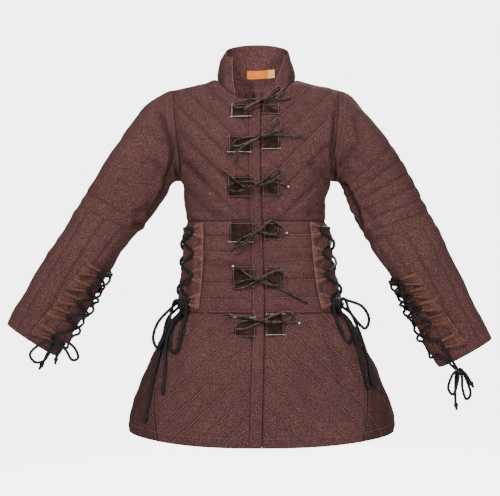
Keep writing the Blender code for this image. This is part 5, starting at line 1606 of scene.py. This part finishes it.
def make_label():
    """A short woven label sewn flat inside the collar's back."""
    collar = PIECES["collar"][0]
    back = [j for j in range(collar.x.shape[1]) if collar.y[:, j].min() > LABEL_BEHIND]
    heights = collar.z[:, back]
    across_back = [values[:, back] for values in
                   (collar.x, collar.y, collar.ways[..., 0], collar.ways[..., 1], collar.ways[..., 2])]
    spots, ways = [], []
    for v in np.linspace(*LABEL_Z, LABEL_ROWS):
        for u in np.linspace(*LABEL_X, LABEL_COLUMNS):
            z = v + LABEL_TILT * u
            xs, *rest = np.array([[np.interp(z, heights[:, j], values[:, j]) for j in range(len(back))]
                                  for values in across_back])
            order = np.argsort(xs)
            y, *way = (np.interp(u, xs[order], values[order]) for values in rest)
            spots.append((u, y, z))
            ways.append(way)
    spots, ways = (np.array(values).reshape(LABEL_ROWS, LABEL_COLUMNS, 3) for values in (spots, ways))
    form = Form(spots, -unit(ways))
    under = WALL + SEAM_GAP
    height = under + LABEL_THICK + noise_at(form.spots, LABEL_NOISE, LABEL_SEED) * LABEL_ROUGH
    shell("label", [plain(form, height)], 1, "label_weave", -under)
    sew("label_thread", form, height, LABEL_INSET, RIMS, LABEL_CLEAR)


# ---------------------------------------------------------------- stitches

STITCH_LIFT = 0.0002
STITCH_UNEVEN = 0.25     # how much shorter than its length a stitch may be, as a share of it
STITCH_SEED = 1
LEAST_VALUE = 1e-9       # keeps a contour off the corners of a form's cells
QUILTING_CLEAR = 0.003

WAIST_CLOTHS = ["waist_front_left", "waist_front_right", "waist_back", "waist_side_left", "waist_side_right"]
SKIRT_FRONTS = ["skirt_front_left", "skirt_front_right"]
GORES = ["skirt_gore_left", "skirt_gore_right"]
SLEEVE_NAMES = ["sleeve_left", "sleeve_right"]

# Rows of topstitching: the pieces, the edges they follow and how far inside them.
TOPSTITCH = [
    (["front_band"], ["start", "end"], 0.0020),
    (SKIRT_FRONTS + ["skirt_back"] + GORES, ["low"], 0.0200),
    (WAIST_CLOTHS, ["high"], 0.0050), (WAIST_CLOTHS, ["low"], 0.0045),
    (GORES, ["start", "end"], 0.0040), (SKIRT_FRONTS, ["end"], 0.0040),
    (SLEEVE_NAMES, ["low"], 0.0040), (SLEEVE_NAMES, ["low"], 0.0150),
    (SLEEVE_NAMES, ["high"], 0.0045), (SLEEVE_NAMES, ["high"], 0.0130),
    (["collar"], ["high"], 0.0050), (["collar"], ["low"], 0.0040),
]
COLLAR_BINDING = 0.0030  # distance of the binding's stitches from the collar's front ends

# How each list of seams is sewn: its piece, its thread, and the pitch, length
# and thickness of a stitch.
Sewing = namedtuple("Sewing", "seam name thread pitch length thick slot")
QUILTING = Sewing(None, None, None, 0.0050, 0.0036, 0.0011, "quilted_cloth")
SEWING = [
    Sewing("thread", "topstitching", "topstitch", 0.0040, 0.0031, 0.0008, "quilted_cloth"),
    Sewing("binding_thread", "edge_stitching", "binding_thread", 0.0040, 0.0030, 0.0009, "quilted_cloth"),
    Sewing("white_thread", "patch_white_stitching", "white_thread", 0.0044, 0.0045, 0.0013, "suede"),
    Sewing("patch_thread", "patch_stitching", "thread", 0.0044, 0.0034, 0.0009, "suede"),
    Sewing("label_thread", "label_stitching", "binding_thread", 0.0034, 0.0026, 0.0006, "label_weave"),
]


def sew(thread, form, height, inset, rims, clear):
    """Note the seams that run this far inside some edges of a form."""
    from_edge = {"low": form.up, "high": form.up[-1:] - form.up,
                 "start": form.along, "end": form.along[:, -1:] - form.along}
    SEAMS[thread] += [contours(form, height, from_edge[rim] - inset, clear) for rim in rims]


def contours(form, height, value, clear):
    """Points and edges along the lines where a value on a form is zero.

    Parts nearer than clear to the form's edge are left out.
    """
    spots = form.spots + form.ways * (height + STITCH_LIFT)[..., None]
    edge = form.edge
    if form.wrap:
        spots, edge = (np.concatenate([array, array[:, :1]], axis=1) for array in (spots, edge))
        value = closed(value)
    value = np.where(value == 0, LEAST_VALUE, value)
    above = value > 0
    mixed = above[:-1, :-1].astype(int) + above[1:, :-1] + above[:-1, 1:] + above[1:, 1:]
    points, edges, known = [], [], {}

    def crossing(a, b):
        if (a, b) not in known:
            share = value[a] / (value[a] - value[b])
            known[a, b] = len(points)
            points.append(spots[a] * (1 - share) + spots[b] * share)
        return known[a, b]

    for i, j in np.argwhere((mixed > 0) & (mixed < 4)):
        if edge[i, j] < clear:
            continue
        here, beside, over, far = (i, j), (i, j + 1), (i + 1, j), (i + 1, j + 1)
        sides = ((here, beside), (here, over), (beside, far), (over, far))
        found = [crossing(a, b) for a, b in sides if above[a] != above[b]]
        if len(found) == 2:
            edges.append(tuple(found))
    return points, edges


def stitching_tree(sewing):
    """Short raised stitches at even steps along the edges of a mesh."""
    tree = bpy.data.node_groups.new("Stitching", "GeometryNodeTree")
    for way in ("OUTPUT", "INPUT"):
        tree.interface.new_socket("Geometry", in_out=way, socket_type="NodeSocketGeometry")

    def node(kind, links, out=0, **settings):
        made = tree.nodes.new(kind)
        for key, value in settings.items():
            setattr(made, key, value)
        for key, value in links.items():
            if isinstance(value, bpy.types.NodeSocket):
                tree.links.new(value, made.inputs[key])
            else:
                made.inputs[key].default_value = value
        return made.outputs[out] if made.outputs else None

    curve = node("GeometryNodeMeshToCurve", {"Mesh": node("NodeGroupInput", {})})
    even = node("GeometryNodeResampleCurve", {"Curve": curve, "Length": sewing.pitch}, mode="LENGTH")
    tangent = node("GeometryNodeInputTangent", {})
    turn = node("FunctionNodeAlignRotationToVector", {"Vector": tangent}, axis="Z")
    ball = node("GeometryNodeMeshUVSphere", {"Segments": 5, "Rings": 4, "Radius": 0.5})
    uneven = node("FunctionNodeRandomValue", {2: 1 - STITCH_UNEVEN, 3: 1.0, "Seed": STITCH_SEED}, 1)
    long = node("ShaderNodeMath", {0: sewing.length, 1: uneven}, operation="MULTIPLY")
    size = node("ShaderNodeCombineXYZ", {"X": sewing.thick, "Y": sewing.thick, "Z": long})
    balls = node("GeometryNodeInstanceOnPoints", {"Points": even, "Instance": ball, "Rotation": turn,
                                                  "Scale": size})
    node("NodeGroupOutput", {0: node("GeometryNodeRealizeInstances", {"Geometry": balls})})
    return tree


def stitches(sewing, seams):
    """A piece of raised stitches along a list of (points, edges)."""
    points, edges = [], []
    for spots, links in seams:
        edges += [(a + len(points), b + len(points)) for a, b in links]
        points += [tuple(spot) for spot in spots]
    guide = bpy.data.meshes.new(sewing.name + "_guide")
    guide.from_pydata(points, edges, [])
    holder = linked(sewing.name + "_guide", guide)
    holder.modifiers.new("Stitching", "NODES").node_group = stitching_tree(sewing)
    bpy.context.view_layer.update()
    graph = bpy.context.evaluated_depsgraph_get()
    data = bpy.data.meshes.new_from_object(holder.evaluated_get(graph))
    bpy.data.objects.remove(holder)
    bpy.data.meshes.remove(guide)
    data.name = sewing.name
    data.shade_smooth()
    put(sewing.name, data, sewing.slot, MATERIALS[sewing.thread])


def make_stitches():
    for name, form, height, phase in QUILTED:
        levels = range(math.floor(phase.min()), math.ceil(phase.max()) + 1)
        seams = [contours(form, height, phase - level, QUILTING_CLEAR) for level in levels
                 if np.abs(phase - level).min() < 0.5]
        sunk = name.startswith(("sleeve", "chest_front_right"))
        thread = "topstitch" if sunk else "thread"
        stitches(QUILTING._replace(name="quilting_" + name, thread=thread), seams)
    for names, rims, inset in TOPSTITCH:
        for name in names:
            sew("thread", *PIECES[name], inset, rims, 0.0)
    sew("binding_thread", *PIECES["collar"], COLLAR_BINDING, ["start", "end"], 0.0)
    for sewing in SEWING:
        stitches(sewing, SEAMS[sewing.seam])


# ---------------------------------------------------------------- ties, laces and bows

CORD_RING = 0.0022       # a ring of points every so far along a cord
CORD_SIDES = 12
ROUTE_FINE = 32          # steps on the smooth curve between two points of a route
CORD_FULL = 1.24         # a soft cord is this much fuller than its solid
CORD_SHARP = 50          # degrees
KNOT_PLACE, KNOT_LONG, KNOT_FULL = 0.011, 0.0034, 0.75      # of the knot at a cord's free end
TIP_LONG, TIP_THIN = 0.0015, 0.25
THONG_TIP_LONG, THONG_TIP_THIN = 0.004, 0.22
THONG_UNEVEN, THONG_WAVES = 0.05, 330
THONG_THICK, THONG_WIDE = 0.0030, 0.0042
THONG_SECTION = ((1, 0.6), (0.6, 1), (-0.6, 1), (-1, 0.6), (-1, -0.6), (-0.6, -1), (0.6, -1), (1, -0.6))
RAW_LONG = 0.0032        # of the pale cut end of a thong
# How pale the cut ends of some ties are, as tie: (first end, last end).
RAW_TIPS = {3: (1.0, 0.0), 4: (1.0, 0.0), 5: (0.0, 1.0), 6: (1.0, 0.0)}
WRAP_TURNS, WRAP_STEPS = 3, 12      # turns of a thong round its own knot, and steps in each
WRAP_LONG, WRAP_HALF = 8.0, 4.4     # mm along the bow and half across it
WRAP_CLEAR = 0.0024
WRAP_THICK, WRAP_WIDE = 0.6, 0.55   # of a turn, as shares of the thong's own
BOW_SPLIT = {"waist": 7, "arm": 4}  # the point of a bow's route that lies in its knot
LACE_NEARS = 0.55        # an arm lace's ends lie this share of the way to its bow's knot
HOMEWARD = {"waist": (0.8, 0.6, 0.4), "arm": (0.8, 0.6, 0.4, 0.2)}     # places on a lace's way back
ARM_RISE, ARM_HOME_RISE = 0.3, 0.9       # of an arm lace between its rows, and on its way back


def fine_route(points, step):
    """Points evenly spaced along a smooth curve through a route's own points."""
    dense = spline(numbers([[point] for point in points]), ROUTE_FINE)[:, 0]
    runs = arc(dense, 0)
    even = np.linspace(0.0, runs[-1], round(runs[-1] / step) + 1)
    return [Vector(spot) for spot in np.stack([np.interp(even, runs, dense[:, k]) for k in range(3)], axis=1)]


def sweep(name, points, section, slot, node, size_at=None, raw_at=None):
    """Sweep a closed section along points, with its turn and its run as UVs."""
    count = len(section)
    runs = [0.0]
    for a, b in zip(points, points[1:]):
        runs.append(runs[-1] + (b - a).length)
    mesh = bmesh.new()
    layer = mesh.loops.layers.uv.new("flat")
    raw = mesh.verts.layers.float.new("raw")
    rings = []
    across_way = Vector((0, -1, 0))
    for i, point in enumerate(points):
        ahead = (points[min(i + 1, len(points) - 1)] - points[max(i - 1, 0)]).normalized()
        across_way = (across_way - ahead * across_way.dot(ahead)).normalized()
        beside = ahead.cross(across_way)
        size = size_at(runs[i], runs[-1]) if size_at else 1.0
        ring = [mesh.verts.new(point + (across_way * a + beside * b) * size) for a, b in section]
        for vert in ring:
            vert[raw] = raw_at(runs[i], runs[-1]) if raw_at else 0.0
        rings.append(ring)
    for i, (low, high) in enumerate(zip(rings, rings[1:])):
        for k in range(count):
            on = (k + 1) % count
            face = mesh.faces.new((low[k], low[on], high[on], high[k]))
            for loop, (u, v) in zip(face.loops, ((k, i), (k + 1, i), (k + 1, i + 1), (k, i + 1))):
                loop[layer].uv = (u / count, runs[v])
    for ring, run in ((rings[0], 0.0), (rings[-1], runs[-1])):
        middle = mesh.verts.new(sum((v.co for v in ring), Vector()) / count)
        middle[raw] = ring[0][raw]
        for k in range(count):
            face = mesh.faces.new((ring[k], ring[(k + 1) % count], middle))
            for loop, u in zip(face.loops, (k, k + 1, k + 0.5)):
                loop[layer].uv = (u / count, run)
    bmesh.ops.recalc_face_normals(mesh, faces=mesh.faces)
    data = bpy.data.meshes.new(name)
    finish_mesh(mesh, data, CORD_SHARP)
    return put(name + NAME_ENDS[slot], data, slot, MATERIALS[slot], node)


def declare_cord(points, diameter):
    """Work out how far a swept piece runs, and from where."""
    length = sum((b - a).length for a, b in zip(points, points[1:]))
    tuple(points[0])
    [tuple(point) for point in points]


def make_cord(name, route, diameter, node, knot):
    """A braided cord, which may have a small hard knot near its free end."""
    points = fine_route(route, CORD_RING)

    def size_at(run, total):
        bulge = KNOT_FULL * math.exp(-((total - run - KNOT_PLACE) / KNOT_LONG) ** 2)
        return 1.0 + bulge - TIP_THIN * math.exp(-((total - run) / TIP_LONG) ** 2)

    radius = diameter * CORD_FULL / 2
    turns = [2 * math.pi * k / CORD_SIDES for k in range(CORD_SIDES)]
    circle = [(radius * math.cos(turn), radius * math.sin(turn)) for turn in turns]
    piece = sweep(name, points, circle, "black_cord", node, size_at if knot else None)
    declare_cord(points, diameter * CORD_FULL)


def thong_section(thick, wide):
    return [(thick / 2 * a, wide / 2 * b) for a, b in THONG_SECTION]


def make_tie(number, knot, route, sink):
    spots = [on_front(knot[0] + x / 1000, knot[1] + z / 1000, lift - sink)
             for (x, z), lift in zip(route, tie_lifts(route))]
    points = fine_route(spots, CORD_RING)
    first, last = RAW_TIPS.get(number, (0.0, 0.0))

    def raw_at(run, total):
        return max(first if run < RAW_LONG else 0.0, last if total - run < RAW_LONG else 0.0)

    def size_at(run, total):
        thin = THONG_TIP_THIN * math.exp(-(min(run, total - run) / THONG_TIP_LONG) ** 2)
        return 1.0 - thin + THONG_UNEVEN * math.sin(run * THONG_WAVES + number)

    name = f"tie_{number}"
    section = thong_section(THONG_THICK, THONG_WIDE)
    piece = sweep(name, points, section, "tie_leather", name, size_at, raw_at)
    declare_cord(points, THONG_WIDE)


def make_wrap(number, knot, route, sink):
    """Turns of the same thong round the strands that cross in a tie's knot."""
    crossing = [k for k, spot in enumerate(route) if math.hypot(*spot) < KNOT_REACH]
    middle = np.mean([route[k] for k in crossing], axis=0)
    strands = [np.subtract(route[k + 1], route[k - 1]) for k in crossing]
    way = unit(sum(strand * np.sign(strand[0]) for strand in strands))
    beside = np.array([-way[1], way[0]])
    low, high = PASS_LIFTS[0], PASS_LIFTS[len(crossing) - 1]
    spots = []
    for share in np.linspace(0, 1, WRAP_TURNS * WRAP_STEPS + 1):
        angle = 2 * math.pi * WRAP_TURNS * share
        x, z = middle + way * WRAP_LONG * (share - 0.5) + beside * WRAP_HALF * math.cos(angle)
        lift = (low + high) / 2 + ((high - low) / 2 + WRAP_CLEAR) * math.sin(angle)
        spots.append(on_front(knot[0] + x / 1000, knot[1] + z / 1000, max(lift, low) - sink))
    section = thong_section(THONG_THICK * WRAP_THICK, THONG_WIDE * WRAP_WIDE)
    name = f"tie_{number}"
    sweep(name + "_wrap", fine_route(spots, CORD_RING / 2), section, "tie_leather", name)


def make_ties():
    for number, (knot, route, patch) in enumerate(zip(TIE_KNOTS, TIE_ROUTES, PATCHES), 1):
        make_tie(number, knot, route, patch.sink)
        make_wrap(number, knot, route, patch.sink)


def make_bow(name, route, split, diameter):
    """A bow in two runs from its knot: a plain end, and two loops and the other end."""
    make_cord(name + "_tail", route[split::-1], diameter, name, True)
    make_cord(name, route[split:], diameter, name, True)


def make_waist_lace(side):
    name = "waist_" + SIDE_NAME[side]

    def place(u, z, lift):
        return on_waist(side, mix(*WAIST_EYES, u), z, lift)

    out, up, lift = LACE_END
    first, last = (at_knot(side, reach, up, lift) for reach in (-out, out))
    homeward = [place(u, WAIST_TAB_Z[0] - WAIST_RISE, HOME_LIFT) for u in HOMEWARD["waist"]]
    route = [first] + laced(place, WAIST_TAB_Z, WAIST_RISE, CORD) + homeward + [last]
    make_cord("lace_" + name, route, CORD, "lace_" + name, False)
    bow = [at_knot(side, *(value / 1000 for value in spot)) for spot in WAIST_BOWS[side]]
    make_bow("bow_" + name, bow, BOW_SPLIT["waist"], CORD)


def make_arm_lace(side):
    name = "arm_" + SIDE_NAME[side]

    def place(u, station, lift):
        front = strip_step(side, FRONT, station) + ARM_EYE_STEP
        back = strip_step(side, BACK, station) - ARM_EYE_STEP
        return on_sleeve(side, mix(front, back, u), station, lift)

    rows = tuple(reversed(ARM_TABS[side]))
    rise = -2 * tab_half(side, rows[2]) * ARM_RISE
    bow = [Vector(spot) / 1000 for spot in ARM_BOWS[side]]
    first, last = (Vector(end).lerp(bow[BOW_SPLIT["arm"]], LACE_NEARS) for end in ARM_LACE_ENDS[side])
    homeward = [place(u, rows[0] - rise * ARM_HOME_RISE, HOME_LIFT) for u in HOMEWARD["arm"]]
    route = [first] + laced(place, rows, rise, ARM_CORD) + homeward + [last]
    make_cord("lace_" + name, route, ARM_CORD, "lace_" + name, False)
    make_bow("bow_" + name, bow, BOW_SPLIT["arm"], ARM_CORD)


def make_laces():
    for side in (LEFT, RIGHT):
        make_waist_lace(side)
        make_arm_lace(side)


make_backing()
make_patches()
make_tabs()
make_label()
make_ties()
make_laces()
make_stitches()


# ---------------------------------------------------------------- stage, light and camera

VIEW_X, VIEW_Z = -0.0158, -0.378     # what the camera looks at
VIEW_WIDTH = 1.125
CAMERA_AWAY = 2.6
FILM_WIDE = 36           # mm
FLOOR_Z, FLOOR_HALF = -1.45, 30.0
FLOOR_GREY = 0.90
STAGE_GLOW = 4.8         # how bright the floor and the studio look to the camera
STUDIO_LIGHT = 0.16      # how brightly the studio itself lights the cloth

# Round lamps: place, size and power.
LAMPS = {
    "key": ((-1.5, -2.6, 1.6), 0.5, 111),
    "fill": ((1.1, -2.8, -0.15), 1.0, 58),
    "top": ((0.0, -0.9, 2.3), 1.2, 40),
    "behind": ((0.9, 2.9, 1.7), 1.4, 120),
}


def glow_when_seen(tree, socket, otherwise):
    """Make something look bright without letting it light the cloth."""
    seen = tree.nodes.new("ShaderNodeLightPath").outputs["Is Camera Ray"]
    glow = tree.nodes.new("ShaderNodeMath")
    glow.operation = "MULTIPLY_ADD"
    glow.inputs[1].default_value = STAGE_GLOW
    glow.inputs[2].default_value = otherwise
    tree.links.new(seen, glow.inputs[0])
    tree.links.new(glow.outputs[0], socket)


def make_stage():
    """A pale floor, wide enough to meet the equally pale studio at the horizon."""
    spots = [(x * FLOOR_HALF, y * FLOOR_HALF, FLOOR_Z) for x, y in ((-1, -1), (1, -1), (1, 1), (-1, 1))]
    data = bpy.data.meshes.new("floor")
    data.from_pydata(spots, [], [(0, 1, 2, 3)])
    material = bpy.data.materials.new("pale_floor")
    material.use_nodes = True
    given = material.node_tree.nodes["Principled BSDF"].inputs
    given["Base Color"].default_value = (FLOOR_GREY, FLOOR_GREY, FLOOR_GREY, 1)
    given["Roughness"].default_value = 1.0
    given["Emission Color"].default_value = (1, 1, 1, 1)
    glow_when_seen(material.node_tree, given["Emission Strength"], 0.0)
    data.materials.append(material)
    linked("floor", data)


def make_lamps():
    for name, (place, size, power) in LAMPS.items():
        data = bpy.data.lights.new(name, "AREA")
        data.shape = "DISK"
        data.size = size
        data.energy = power
        lamp = linked(name, data)
        lamp.location = place
        way = Vector((VIEW_X, 0.0, VIEW_Z)) - Vector(place)
        lamp.rotation_euler = way.to_track_quat("-Z", "Y").to_euler()
    world = bpy.data.worlds.new("studio")
    bpy.context.scene.world = world
    world.use_nodes = True
    given = world.node_tree.nodes["Background"].inputs
    given["Color"].default_value = (1.0, 1.0, 1.0, 1)
    glow_when_seen(world.node_tree, given["Strength"], STUDIO_LIGHT)


def make_camera():
    data = bpy.data.cameras.new("camera")
    data.lens = FILM_WIDE * CAMERA_AWAY / VIEW_WIDTH
    camera = linked("camera", data)
    camera.location = (VIEW_X, -CAMERA_AWAY, VIEW_Z)
    camera.rotation_euler = (math.pi / 2, 0, 0)
    bpy.context.scene.camera = camera


make_stage()
make_lamps()
make_camera()
